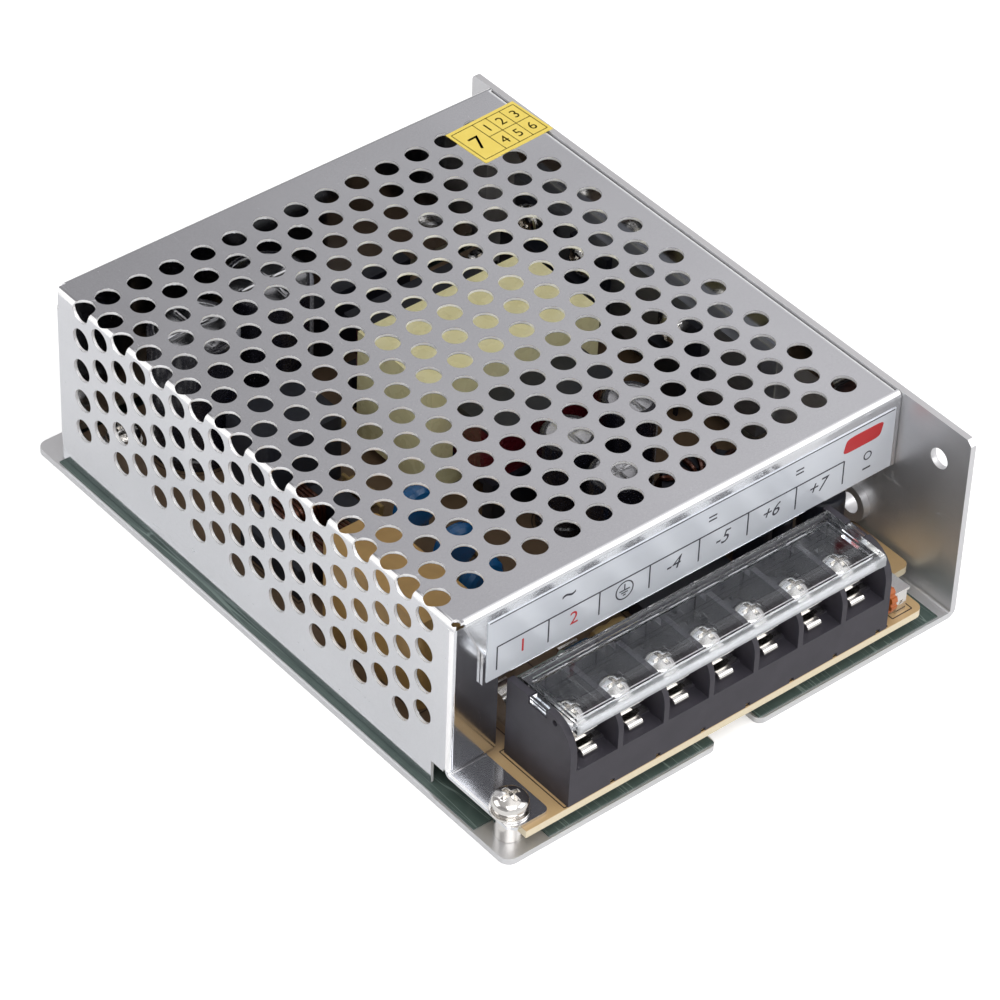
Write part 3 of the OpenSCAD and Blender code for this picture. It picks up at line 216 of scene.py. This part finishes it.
table_shade = under.node("MixShader", {}, {0: by_eye, 1: by_metal, 2: shown})
under.node("OutputMaterial", {}, {"Surface": table_shade})
table.data.materials.append(table_white)


# Chassis. One sheet of bright rolled metal, sheared, pierced and folded once into a plate and a
# wall. The shears leave a thin bright burnished edge.
def wear(*objects, coat):
    """Puts one material on these objects in place of what they had."""
    for thing in objects:
        thing.data.materials.clear()
        thing.data.materials.append(coat)


def eased(node, width, coat, body="housing", steps=2):
    """A copy of a CAD node: doubles merged, flat faces joined, and sharp edges rounded to width."""
    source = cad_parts[node]
    shape = bmesh.new()
    shape.from_mesh(source.data)
    bmesh.ops.remove_doubles(shape, verts=shape.verts, dist=0.002 * MM)
    bmesh.ops.dissolve_limit(shape, angle_limit=math.radians(0.3), verts=shape.verts, edges=shape.edges)
    mesh = bpy.data.meshes.new(node + "_eased")
    shape.to_mesh(mesh)
    shape.free()
    mesh.shade_smooth()
    thing = bpy.data.objects.new(node + "_eased", mesh)
    scene.collection.objects.link(thing)
    soft = thing.modifiers.new("eased_edges", "BEVEL")
    soft.width, soft.segments, soft.limit_method = width, steps, "ANGLE"
    soft.angle_limit = math.radians(32)
    flat = thing.modifiers.new("flat_faces", "WEIGHTED_NORMAL")
    flat.mode, flat.weight = "FACE_AREA", 100
    wear(thing, coat=coat)
    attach(thing, body)
    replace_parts(thing, node)
    return thing


def rolled(place):
    grain = place.noise(9000, 2, 0.6, (0.15, 1, 1))
    cloud = place.noise(90, 3)
    return {"Base Color": (grain * 0.25 + cloud * 0.75).tint((0.62, 0.62, 0.63), (0.76, 0.76, 0.77)),
            "Roughness": 0.28 + grain * 0.08 + cloud * 0.12 + place.scratches(900, 0.004, 0.5) * 0.2,
            "Normal": grain.bump(0.05, 0.02 * MM)}


rolled_sheet = finish("rolled sheet", {"Metallic": 0.82}, rolled)
eased("chassis", 0.12 * MM, rolled_sheet)


# Cover. One thinner sheet, polished by its rolls and lightly scuffed, punched in staggered rows while
# flat and then folded, so the first holes run over the left-hand fold.
cover_low, cover_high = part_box("cover")


def scuffs_and_painted_rims(place):
    """Polished, scuffed sheet with painted highlights: within its thickness, the walls of the holes and on the
    folds are painted white and dull, as bright rims catching light.
    """
    grain = place.noise(2800, 3, 0.7)
    cloud = place.noise(45, 3)
    deep, inward = cover_high.z - place.axis("Z"), place.axis("X") - cover_low.x
    outer, inner = (0.05 * MM, 0.09 * MM), (0.52 * MM, 0.56 * MM)
    # cut marks the sheet's thickness on the hole walls: painted highlight, white base colour standing in for the
    # light the rims catch.
    cut = place.math("MAXIMUM", deep.clip(*outer) * (1 - deep.clip(*inner)),
                     inward.clip(*outer) * (1 - inward.clip(*inner)))
    specks = place.noise(2600, 2, 0.5).clip(0.70, 0.74)
    lines = place.scratches(700, 0.003, 0.3) + place.scratches(500, 0.003, 1.4)
    face = (cloud * 0.5 + grain * 0.5).tint((0.60, 0.61, 0.63), (0.84, 0.85, 0.88))
    return {"Base Color": cut.tint(face, (1.0, 1.0, 1.0)),
            "Metallic": 1 - cut * 0.6,
            "Roughness": 0.06 + cloud * 0.06 + grain * 0.08 + specks * 0.12 + lines * 0.10 + cut * 0.25,
            "Normal": place.noise(35, 1).bump(0.25, 0.3 * MM)}


sheet_with_painted_rims = finish("scuffed sheet", {}, scuffs_and_painted_rims)
eased("cover", 0.24 * MM, sheet_with_painted_rims)


# Insulating sheet and standoffs. Dark green film lies on the plate, cut clear of the collars. The
# turned standoffs are pressed into the plate, and plated screws hold the board and the cover.
def film(place):
    lines = place.scratches(400, 0.006, 0.9) + place.scratches(300, 0.006, 2.2)
    return {"Base Color": (lines * 0.6 + place.noise(300, 3) * 0.3).tint("394844", "7c8b86"),
            "Roughness": 0.32 + lines * 0.2,
            "Normal": place.noise(140, 2).bump(0.15, 0.4 * MM)}


film_green = finish("green film", {"Specular IOR Level": 0.25}, film)
wear(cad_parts["insulating_sheet"], coat=film_green)


def plated(place):
    fine = place.noise(6000, 3, 0.7)
    return {"Base Color": fine.tint((0.60, 0.58, 0.55), (0.86, 0.84, 0.81)),
            "Roughness": 0.07 + fine * 0.14,
            "Normal": fine.bump(0.08, 0.02 * MM)}


nickel = finish("nickel plate", {"Metallic": 1.0}, plated)
eased("standoffs", 0.10 * MM, nickel)
eased("mounting_screws", 0.07 * MM, nickel)
eased("cover_screws", 0.07 * MM, nickel)


# Circuit board. Tan paper laminate, sawn to a paler, furry edge. The outlines of its parts are
# printed on top in dark ink.
def laminate(place):
    fibre = place.noise(2500, 4, 0.7, (1, 0.3, 1))
    patch = place.noise(60, 2)
    top = place.axis("Z").clip(5.60 * MM, 5.75 * MM)
    # Painted shade: behind about y = -44 mm, under the cover, the board's top is painted a darker brown.
    painted_shade_under_cover = place.axis("Y").clip(-50 * MM, -44 * MM)
    face = (fibre * 0.5 + patch * 0.5).tint("a98c60", "c4a77c")
    face_in_painted_shade = painted_shade_under_cover.tint(face, "6e5a46")
    edge = fibre.tint("d0c2a2", "e6dabe")
    return {"Base Color": top.tint(edge, face_in_painted_shade),
            "Roughness": 0.34 + fibre * 0.2,
            "Normal": fibre.bump(0.1, 0.05 * MM)}


board_tan = finish("board laminate", {"Coat Weight": 0.15, "Coat Roughness": 0.3}, laminate)
eased("circuit_board", 0.08 * MM, board_tan)


def sweep(rings, along=False, around=True):
    """Corners and faces of a skin: quads join each ring of points to the next, and an open run is capped."""
    rings = np.asarray(rings, float)
    n, m = rings.shape[:2]
    i, j = np.meshgrid(np.arange(n if along else n - 1), np.arange(m if around else m - 1), indexing="ij")
    after, beside = (i + 1) % n, (j + 1) % m
    faces = np.stack([i * m + j, i * m + beside, after * m + beside, after * m + j], -1).reshape(-1, 4).tolist()
    if around and not along:
        faces += [list(range(m))[::-1], list(range((n - 1) * m, n * m))]
    return rings.reshape(-1, 3), faces


def stroke(path, width, out, lift=0.02 * MM):
    """A printed line: a rectangle, width across and lift thick, carried along path on a face turned to out."""
    path = np.asarray(path, float)
    run = np.gradient(path, axis=0)
    side = np.cross(run, out)
    side *= width / 2 / np.linalg.norm(side, axis=1, keepdims=True)
    rise = np.asarray(out, float) * lift
    return sweep(np.stack([path - side, path + side, path + side + rise, path - side + rise], 1))


def ring(middle, radius, right, up, steps=40):
    """A circle's points: middle + radius (right cos t + up sin t), for t from 0 to a full turn."""
    t = np.linspace(0, 2 * np.pi, steps + 1)[:, None]
    return np.asarray(middle) + radius * (np.asarray(right) * np.cos(t) + np.asarray(up) * np.sin(t))


def built(name, skins, coat, body="housing", crease=40):
    """One piece from several skins: doubles merged, faces turned outwards, sharp at over crease degrees."""
    counts = np.cumsum([0] + [len(corners) for corners, _ in skins])
    faces = [[k + start for k in face] for start, (_, own) in zip(counts, skins) for face in own]
    mesh = bpy.data.meshes.new(name)
    mesh.from_pydata(np.concatenate([corners for corners, _ in skins]).tolist(), [], faces)
    shape = bmesh.new()
    shape.from_mesh(mesh)
    bmesh.ops.remove_doubles(shape, verts=shape.verts, dist=0.0002 * MM)
    bmesh.ops.recalc_face_normals(shape, faces=shape.faces)
    shape.to_mesh(mesh)
    shape.free()
    mesh.shade_smooth()
    mesh.set_sharp_from_angle(angle=math.radians(crease))
    thing = bpy.data.objects.new(name, mesh)
    scene.collection.objects.link(thing)
    wear(thing, coat=coat)
    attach(thing, body)
    return thing


X, Y, Z = np.eye(3)
board_ink = finish("board ink", {"Base Color": "3a2c22"},
                   lambda place: {"Roughness": 0.5 + place.noise(4000, 2) * 0.2})
board_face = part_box("circuit_board")[1].z
outline_width = 0.22 * MM
outlines = []
for node, room in (("terminal_block", 0.5), ("trimmer_body", 0.5), ("mains_fuse", 0.8), ("control_chip", 0.6),
                   ("mains_filter_capacitor", 0.5), ("inrush_thermistor", 0.6), ("choke_core", 0.5)):
    low, high = [np.array(corner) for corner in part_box(node)]
    (x0, y0), (x1, y1) = low[:2] - room * MM, high[:2] + room * MM
    y0 = max(y0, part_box("circuit_board")[0].y + 0.3 * MM)
    corners = np.array([(x0, y0), (x1, y0), (x1, y1), (x0, y1)])
    for start, end in zip(corners, np.roll(corners, -1, axis=0)):
        outlines.append(stroke(np.array([(*start, board_face), (*end, board_face)]), outline_width, Z))
for node in ("bulk_capacitor_1", "bulk_capacitor_2", "output_capacitor_1", "output_capacitor_2",
             "output_capacitor_3", "indicator_lamp"):
    low, high = [np.array(corner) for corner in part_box(node)]
    outlines.append(stroke(ring((*(low + high)[:2] / 2, board_face), (high - low)[0] / 2 + 0.5 * MM, X, Y),
                           outline_width, Z))
built("board_print", outlines, board_ink)


# Terminal block. Moulded in one piece in a dark glass-filled plastic, with a dull bloom on its
# outer faces.
def moulded(place):
    fine = place.noise(7000, 3, 0.7)
    patch = place.noise(300, 3)
    return {"Base Color": (fine * 0.4 + patch * 0.6).tint("222028", "3c3941"),
            "Roughness": 0.46 + fine * 0.16,
            "Normal": fine.bump(0.14, 0.04 * MM)}


block_grey = finish("moulded block", {}, moulded)
eased("terminal_block", 0.12 * MM, block_grey)


# Contacts, clamp plates and terminal screws. Stamped and nickel plated. Each screw drives its clamp
# plate down on the contact.
eased("terminal_contacts", 0.08 * MM, nickel)
for pole in range(1, 8):
    eased("clamp_plate_%d" % pole, 0.08 * MM, nickel, "clamp_%d" % pole)
    eased("terminal_screw_%d" % pole, 0.08 * MM, nickel, "screw_%d" % pole)


# Lid. Clear, brittle moulded plastic, thick at its rims and lightly scratched, snapped between the
# block's end walls on two short pins.
def veiled(made, paint):
    """Lays a thin white haze over a clear material, as strong at each place as paint() says; on the lid it
    carries both scratches and painted highlights.
    """
    tree = made.node_tree
    place = Flow(tree, tree.nodes.new("ShaderNodeTexCoord").outputs["Object"])
    white = place.node("BsdfPrincipled", {}, {"Base Color": rgb("e4e7ea"), "Roughness": 0.35})
    glass = Flow(tree, tree.nodes["Principled BSDF"].outputs[0])
    both = place.node("MixShader", {}, {0: paint(place), 1: glass, 2: white})
    tree.links.new(both.socket, tree.nodes["Material Output"].inputs["Surface"])
    return made


lid_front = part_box("terminal_lid")[0].y


def lid_scratches_and_painted_glints(place):
    """Fine scratches, and painted highlights: a whitish face on the front rim and a whitish line 1.6 to 1.9 mm
    behind it, for light caught in the thick rims.
    """
    scratched = place.scratches(350, 0.004, 1.2) * 0.08 + place.scratches(500, 0.004, 2.6) * 0.06
    # Painted highlight: the front rim's face and a line behind it are veiled white for the light the rims catch.
    face = (1 - place.axis("Y").clip(lid_front + 0.25 * MM, lid_front + 0.35 * MM)) * 0.35
    painted_glint_start = place.axis("Y").clip(lid_front + 1.60 * MM, lid_front + 1.66 * MM) * 0.3
    painted_glint_end = place.axis("Y").clip(lid_front + 1.9 * MM, lid_front + 1.96 * MM) * 0.3
    return scratched + face + painted_glint_start - painted_glint_end


clear = veiled(finish("clear lid", {"Base Color": "f8fafc", "Transmission Weight": 1.0, "IOR": 1.32},
                      lambda place: {"Roughness": 0.01 + place.noise(1500, 3).clip(0.62, 0.72) * 0.2}),
               lid_scratches_and_painted_glints)
eased("terminal_lid", 0.10 * MM, clear, "lid", 3)


# Label strip. Silver-white film on the cover's front flange, printed with the division lines of the
# terminals, plain numbers, an earth sign and a red patch.
label_film = finish("label film", {"Metallic": 0.25, "Coat Weight": 0.5, "Coat Roughness": 0.08},
                    lambda place: {"Base Color": place.noise(60, 2).tint("c6cbd3", "dce0e5"),
                                   "Roughness": 0.26 + place.noise(4000, 2) * 0.1})
wear(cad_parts["label_strip"], coat=label_film)


def figures(text, height, middle, right, up, lift=0.02 * MM, slant=0.0):
    """Printed signs, height tall, about middle on the face that right and up lie in."""
    letters = bpy.data.curves.new("signs", "FONT")
    letters.body, letters.extrude, letters.shear = text, 0.01, slant
    letters.resolution_u = 3
    holder = bpy.data.objects.new("signs", letters)
    scene.collection.objects.link(holder)
    flat = bpy.data.meshes.new_from_object(holder.evaluated_get(bpy.context.evaluated_depsgraph_get()))
    corners = np.empty(len(flat.vertices) * 3)
    flat.vertices.foreach_get("co", corners)
    corners = corners.reshape(-1, 3)
    faces = [list(face.vertices) for face in flat.polygons]
    bpy.data.objects.remove(holder)
    bpy.data.curves.remove(letters)
    low, high = corners.min(axis=0), corners.max(axis=0)
    across, rise = (corners - (low + high) / 2)[:, :2].T * height / (high - low)[1]
    depth = (corners[:, 2] > 0) * lift
    out = np.cross(right, up)
    return (np.asarray(middle) + across[:, None] * right + rise[:, None] * up + depth[:, None] * out), faces


def printed(name, colour):
    return finish(name, {"Base Color": colour}, lambda place: {"Roughness": 0.35 + place.noise(5000, 2) * 0.15})


dark_ink, red_ink = printed("dark ink", "2c2c36"), printed("red ink", "b3262a")
low, high = [np.array(corner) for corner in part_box("label_strip")]
cell_left, cell_pitch, cell_line, cell_foot = low[0] + 2.0 * MM, 10.6 * MM, low[2] + 6.6 * MM, low[2] + 1.7 * MM
cell_right, sign_z = cell_left + 7 * cell_pitch, (cell_line + cell_foot) / 2
rule_width, sign_width, figure_height = 0.28 * MM, 0.25 * MM, 2.6 * MM


def on_label(x, z):
    return np.array((x, low[1], z))


lines = [stroke([on_label(cell_left, cell_line), on_label(cell_right, cell_line)], rule_width, -Y),
         stroke([on_label(low[0] + 0.3 * MM, high[2] - 0.25 * MM),
                 on_label(high[0] - 0.3 * MM, high[2] - 0.25 * MM)], 0.2 * MM, -Y)]
for cell in range(8):
    edge = cell_left + cell * cell_pitch
    lines.append(stroke([on_label(edge, cell_foot), on_label(edge, cell_line)], rule_width, -Y))
earth = on_label(cell_left + 2.5 * cell_pitch, sign_z)
lines.append(stroke(ring(earth, 1.8 * MM, X, Z), sign_width, -Y))
lines.append(stroke([earth + 1.3 * MM * Z, earth], sign_width, -Y))
for down, half in ((0.0, 1.1), (0.5, 0.7), (1.0, 0.3)):
    bar = [earth - (half * X + down * Z) * MM, earth + (half * X - down * Z) * MM]
    lines.append(stroke(bar, sign_width, -Y))
for cell, sign in ((3, "-4"), (4, "-5"), (5, "+6"), (6, "+7")):
    cell_middle = on_label(cell_left + (cell + 0.5) * cell_pitch, sign_z)
    lines.append(figures(sign, figure_height, cell_middle, X, Z, slant=0.3))
for x, sign in ((16.6, "~"), (47.0, "="), (66.0, "=")):
    tall = 0.8 * MM if sign == "~" else 1.1 * MM
    lines.append(figures(sign, tall, on_label(low[0] + x * MM, high[2] - 2.9 * MM), X, Z))
lines.append(stroke(ring(on_label(high[0] - 5.7 * MM, sign_z + 1.0 * MM), 0.8 * MM, X, Z), sign_width, -Y))
lines.append(stroke([on_label(high[0] - 6.6 * MM, sign_z - 1.7 * MM),
                     on_label(high[0] - 4.8 * MM, sign_z - 1.7 * MM)], 0.35 * MM, -Y))
built("label_lines", lines, dark_ink)

marks = [figures(sign, figure_height, on_label(cell_left + (cell + 0.5) * cell_pitch, sign_z), X, Z)
         for cell, sign in ((0, "1"), (1, "2"))]
turn = np.linspace(0, 2 * np.pi, 60, endpoint=False)[:, None]
patch_at = on_label(high[0] - 7.1 * MM, high[2] - 3.0 * MM)
across = np.sign(np.cos(turn)) * abs(np.cos(turn)) ** 0.35 * 4.2 * MM
rise = np.sign(np.sin(turn)) * abs(np.sin(turn)) ** 0.35 * 1.55 * MM
patch = patch_at + (across + rise * 0.25) * X + rise * Z
marks.append(sweep(np.stack([patch, patch - 0.02 * MM * Y])))
built("label_red_marks", marks, red_ink)


# Seal sticker. Thin yellow paper over the joint of cover and wall, printed with a brown table of
# plain numbers.
yellow_paper = finish("yellow paper", {"Coat Weight": 0.2, "Coat Roughness": 0.2},
                      lambda place: {"Base Color": place.noise(500, 3).tint("dcc350", "ead366"),
                                     "Roughness": 0.42 + place.noise(3000, 2) * 0.12})
wear(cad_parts["seal_sticker"], coat=yellow_paper)
low, high = [np.array(corner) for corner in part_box("seal_sticker")]
sticker_turn = math.radians(3)
sticker_right = np.array((math.cos(sticker_turn), math.sin(sticker_turn), 0))
sticker_up = np.cross(Z, sticker_right)
sticker_half = np.array((8.0, 5.3)) * MM
sticker_at = np.array((*(low + high)[:2] / 2, high[2] - 0.01 * MM))


def on_sticker(across, rise):
    """A place on the sticker, as shares of its half width and half height from its middle."""
    return sticker_at + across * sticker_half[0] * sticker_right + rise * sticker_half[1] * sticker_up


brown_ink = printed("brown ink", "86621e")
table_width, ink_lift = 0.16 * MM, 0.01 * MM
table_lines = [stroke([on_sticker(a, r), on_sticker(0.92, r)], table_width, Z, ink_lift)
               for a, r in ((-0.92, -0.85), (-0.30, 0.0), (-0.92, 0.85))]
table_lines += [stroke([on_sticker(a, -0.85), on_sticker(a, 0.85)], table_width, Z, ink_lift)
                for a in (-0.92, -0.30, 0.10, 0.50, 0.92)]
table_lines.append(figures("7", 3.6 * MM, on_sticker(-0.61, 0.0), sticker_right, sticker_up, ink_lift))
for count in range(6):
    cell = on_sticker((-0.10, 0.30, 0.71)[count % 3], 0.42 - 0.85 * (count // 3))
    table_lines.append(figures("%d" % (count + 1), 2.2 * MM, cell, sticker_right, sticker_up, ink_lift))
built("sticker_table", table_lines, brown_ink)


# Transformers. A ferrite core wrapped in glossy yellow tape, a black bobbin, and a winding closed
# with dark red tape. The small drive transformer is bare and dark.
def tape(light, dark):
    """Glossy wound tape: faint laps along its length and a few creases."""
    def paint(place):
        laps = place.noise(250, 3) * 0.6 + place.noise(2500, 2, 0.5, (1, 1, 0.1)) * 0.4
        return {"Base Color": laps.tint(dark, light),
                "Roughness": 0.20 + place.noise(400, 2) * 0.15,
                "Normal": place.noise(220, 2).bump(0.3, 0.4 * MM)}
    return paint


def black(place):
    fine = place.noise(3000, 3)
    return {"Base Color": fine.tint("12141c", "1e212c"), "Roughness": 0.32 + fine * 0.25,
            "Normal": fine.bump(0.1, 0.05 * MM)}


yellow_tape = finish("yellow tape", {"Coat Weight": 0.5}, tape("fffad0", "f0e6a8"))
red_tape = finish("red tape", {"Coat Weight": 0.4}, tape("6a1822", "43101a"))
black_plastic = finish("black plastic", {}, black)
ferrite = finish("ferrite", {}, lambda place: {"Base Color": place.noise(800, 3).tint("181a22", "272a35"),
                                               "Roughness": 0.5 + place.noise(2000, 3) * 0.2})
wear(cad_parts["transformer_core"], coat=yellow_tape)
wear(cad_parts["transformer_winding"], coat=red_tape)
wear(*[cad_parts[n] for n in ("transformer_bobbin", "bridge_rectifier", "switching_transistors",
                                   "output_rectifier", "control_chip", "small_capacitors")], coat=black_plastic)
wear(*[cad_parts[n] for n in ("drive_transformer", "choke_core", "output_inductor_core")], coat=ferrite)


# Coils of the mains choke and of the output inductor. Enamelled copper wire, wound in one layer
# round the long bars of the choke's frame and right round the inductor's ring.
def squared(wave, power=0.55):
    """A sine made squarer: its sign, times its size to a power under 1."""
    return np.sign(wave) * abs(wave) ** power


def wire(path, guide, radius, closed=False, sides=8):
    """A round wire: round each point of path, a circle square to the run that starts at cross(run, guide)."""
    run = np.roll(path, -1, axis=0) - np.roll(path, 1, axis=0) if closed else np.gradient(path, axis=0)
    side = np.cross(run, guide)
    side /= np.linalg.norm(side, axis=1, keepdims=True)
    lift = np.cross(side, run)
    lift /= np.linalg.norm(lift, axis=1, keepdims=True)
    t = np.linspace(0, 2 * np.pi, sides, endpoint=False)[None, :, None]
    return sweep(path[:, None] + radius * (np.cos(t) * side[:, None] + np.sin(t) * lift[:, None]), along=closed)


copper = finish("enamelled copper", {"Metallic": 0.85, "Coat Weight": 0.6, "Coat Roughness": 0.1},
                lambda place: {"Base Color": place.noise(900, 2).tint("2e1814", "6e3e2a"),
                               "Roughness": 0.26 + place.noise(900, 2) * 0.1})
low, high = [np.array(corner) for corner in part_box("choke_windings")]
choke_wire, coil_side = 0.42 * MM, high[2] - low[2]
choke_turns = int((high - low)[0] / (2 * choke_wire))
t = np.linspace(0, 2 * np.pi * choke_turns, 28 * choke_turns)
coils = []
for middle_y in (low[1] + coil_side / 2, high[1] - coil_side / 2):
    reach = coil_side / 2 - choke_wire
    coils.append(wire(np.stack([low[0] + choke_wire + ((high - low)[0] - 2 * choke_wire) * t / t[-1],
                                middle_y + reach * squared(np.cos(t)),
                                (low + high)[2] / 2 + reach * squared(np.sin(t))], 1), X, choke_wire))
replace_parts(built("choke_coils", coils, copper), "choke_windings")

low, high = [np.array(corner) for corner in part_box("output_inductor_winding")]
ring_turns, ring_wire, ring_hole = 16, 0.55 * MM, 3.8 * MM
ring_out = (high - low)[0] / 2 - ring_wire
middle = (low + high) / 2
t = np.linspace(0, 2 * np.pi, 28 * ring_turns, endpoint=False)
reach = (ring_out + ring_hole) / 2 + (ring_out - ring_hole) / 2 * squared(np.cos(ring_turns * t))
path = middle + np.stack([reach * np.cos(t), reach * np.sin(t),
                          ((high - low)[2] / 2 - ring_wire) * squared(np.sin(ring_turns * t))], 1)
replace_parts(built("inductor_turns", [wire(path, np.stack([-np.sin(t), np.cos(t), 0 * t], 1), ring_wire, True)],
                  copper), "output_inductor_winding")


# Capacitors. Drawn aluminium cans in shrunk black sleeves. The sleeve is rolled in over the shoulder,
# and a scored cross weakens the bare top.
def can_skin(middle, radius, foot, top, lip=1.1 * MM, sink=0.35 * MM, score=0.18 * MM):
    """A profile turned about the can's axis. On the bare top, z drops by score where |x| or |y| is near 0."""
    bend = np.linspace(0, np.pi / 2, 7)
    edge, disc = 0.8 * MM, np.linspace(radius - lip - 0.15 * MM, 0, 18)
    r = np.concatenate([[0, radius - 0.35 * MM, radius, radius, radius - 0.35 * MM, radius],
                        radius - edge + edge * np.cos(bend), [radius - lip], disc])
    z = np.concatenate([[foot, foot, foot + 0.35 * MM, foot + 2.25 * MM, foot + 2.6 * MM, foot + 2.95 * MM],
                        top - edge + edge * np.sin(bend), [top - 0.05 * MM], np.full(18, top - sink)])
    t = np.linspace(0, 2 * np.pi, 96, endpoint=False)[:, None]
    x, y = r * np.cos(t), r * np.sin(t)
    groove = np.exp(-(np.minimum(abs(x), abs(y)) / (0.22 * MM)) ** 2)
    cut = groove * (r < 0.72 * radius) * (z > top - 1.01 * sink) * (z < top - 0.9 * sink)
    return sweep(np.stack([middle[0] + x, middle[1] + y, z - score * cut], 2), along=True, around=False)


def can_paint(middle, radius, top, lip=1.1 * MM):
    """Glossy sleeve with a pale stripe down one side, and bare metal inside the sleeve's rolled end."""
    def paint(place):
        x, y, z = place.axis("X") - middle[0], place.axis("Y") - middle[1], place.axis("Z")
        out = place.math("SQRT", x * x + y * y)
        bare = (1 - out.clip(radius - lip - 0.1 * MM, radius - lip)) * z.clip(top - 1.2 * MM, top - 1.0 * MM)
        stripe = ((x * 0.8 + y * -0.6) / radius).clip(0.90, 0.91)
        fine = place.noise(3000, 3)
        sleeve = stripe.tint(fine.tint("14141c", "22222c"), "8d8f98")
        return {"Base Color": bare.tint(sleeve, fine.tint((0.44, 0.45, 0.47), (0.60, 0.60, 0.62))),
                "Metallic": bare, "Roughness": 0.22 + fine * 0.1 - bare * 0.12}
    return paint


for node in ("bulk_capacitor_1", "bulk_capacitor_2", "output_capacitor_1", "output_capacitor_2",
             "output_capacitor_3"):
    low, high = [np.array(corner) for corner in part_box(node)]
    middle, radius = (low + high) / 2, (high - low)[0] / 2
    coat = finish("sleeve of " + node.replace("_", " "), {"Coat Weight": 0.3},
                  can_paint(middle, radius, high[2]))
    can = built(node + "_can", [can_skin(middle, radius, low[2], high[2])], coat, crease=30)
    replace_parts(can, node)


# Small parts of the board. Dipped capacitors, the fuse in its sprung clips, the thermistor, lacquered
# resistors, and the power parts screwed to a bar over a grey pad.
fuse_low, fuse_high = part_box("mains_fuse")
fuse_middle = (fuse_low.x + fuse_high.x) / 2


def fuse_coat(place):
    cap = abs(place.axis("X") - fuse_middle).clip(5.0 * MM, 5.1 * MM)
    return {"Base Color": cap.tint("b9cbc6", (0.85, 0.84, 0.82)), "Metallic": cap,
            "Roughness": 0.08 + cap * 0.15}


def dipped(light, dark, rough=0.18):
    return lambda place: {"Base Color": place.noise(300, 2).tint(dark, light),
                          "Roughness": rough + place.noise(900, 3) * 0.1,
                          "Normal": place.noise(350, 2).bump(0.12, 0.2 * MM)}


wear(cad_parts["mains_filter_capacitor"], coat=finish("yellow box", {}, dipped("c8a266", "a2814e", 0.3)))
wear(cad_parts["disc_capacitors"],
     coat=finish("blue epoxy", {"Coat Weight": 0.5}, dipped("1a66a0", "124a7c")))
wear(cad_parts["inrush_thermistor"], coat=finish("grey epoxy", {}, dipped("8a7470", "6c5a58", 0.4)))
wear(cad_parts["mains_fuse"], coat=finish("fuse glass", {}, fuse_coat))
wear(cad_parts["resistors"], coat=finish("resistor paint", {}, dipped("b59a6c", "96804f", 0.35)))
wear(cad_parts["insulating_pad"], coat=finish("silicone pad", {}, dipped("b8b8b4", "a4a4a0", 0.6)))
wear(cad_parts["fuse_clips"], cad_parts["bar_screws"], coat=nickel)
wear(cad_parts["heat_sink_bar"],
     coat=finish("bar metal", {"Metallic": 0.9}, lambda place: {
         "Base Color": place.noise(2000, 2, 0.5, (1, 0.05, 1)).tint((0.24, 0.25, 0.28), (0.38, 0.39, 0.43)),
         "Roughness": 0.42 + place.noise(900, 2) * 0.12}))


# Trimmer and lamp. A toothed orange wheel on a small block under a bent metal frame, and a green
# lamp with a round top.
eased("trimmer_body", 0.06 * MM, nickel)
eased("trimmer_wheel", 0.06 * MM,
      finish("orange wheel", {}, dipped("c26c2e", "9c4f22", 0.4)), "trimmer")
wear(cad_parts["indicator_lamp"],
     coat=finish("green lamp", {"Transmission Weight": 0.4, "Coat Weight": 0.5},
                 dipped("2c6a3c", "1c4828", 0.12)))
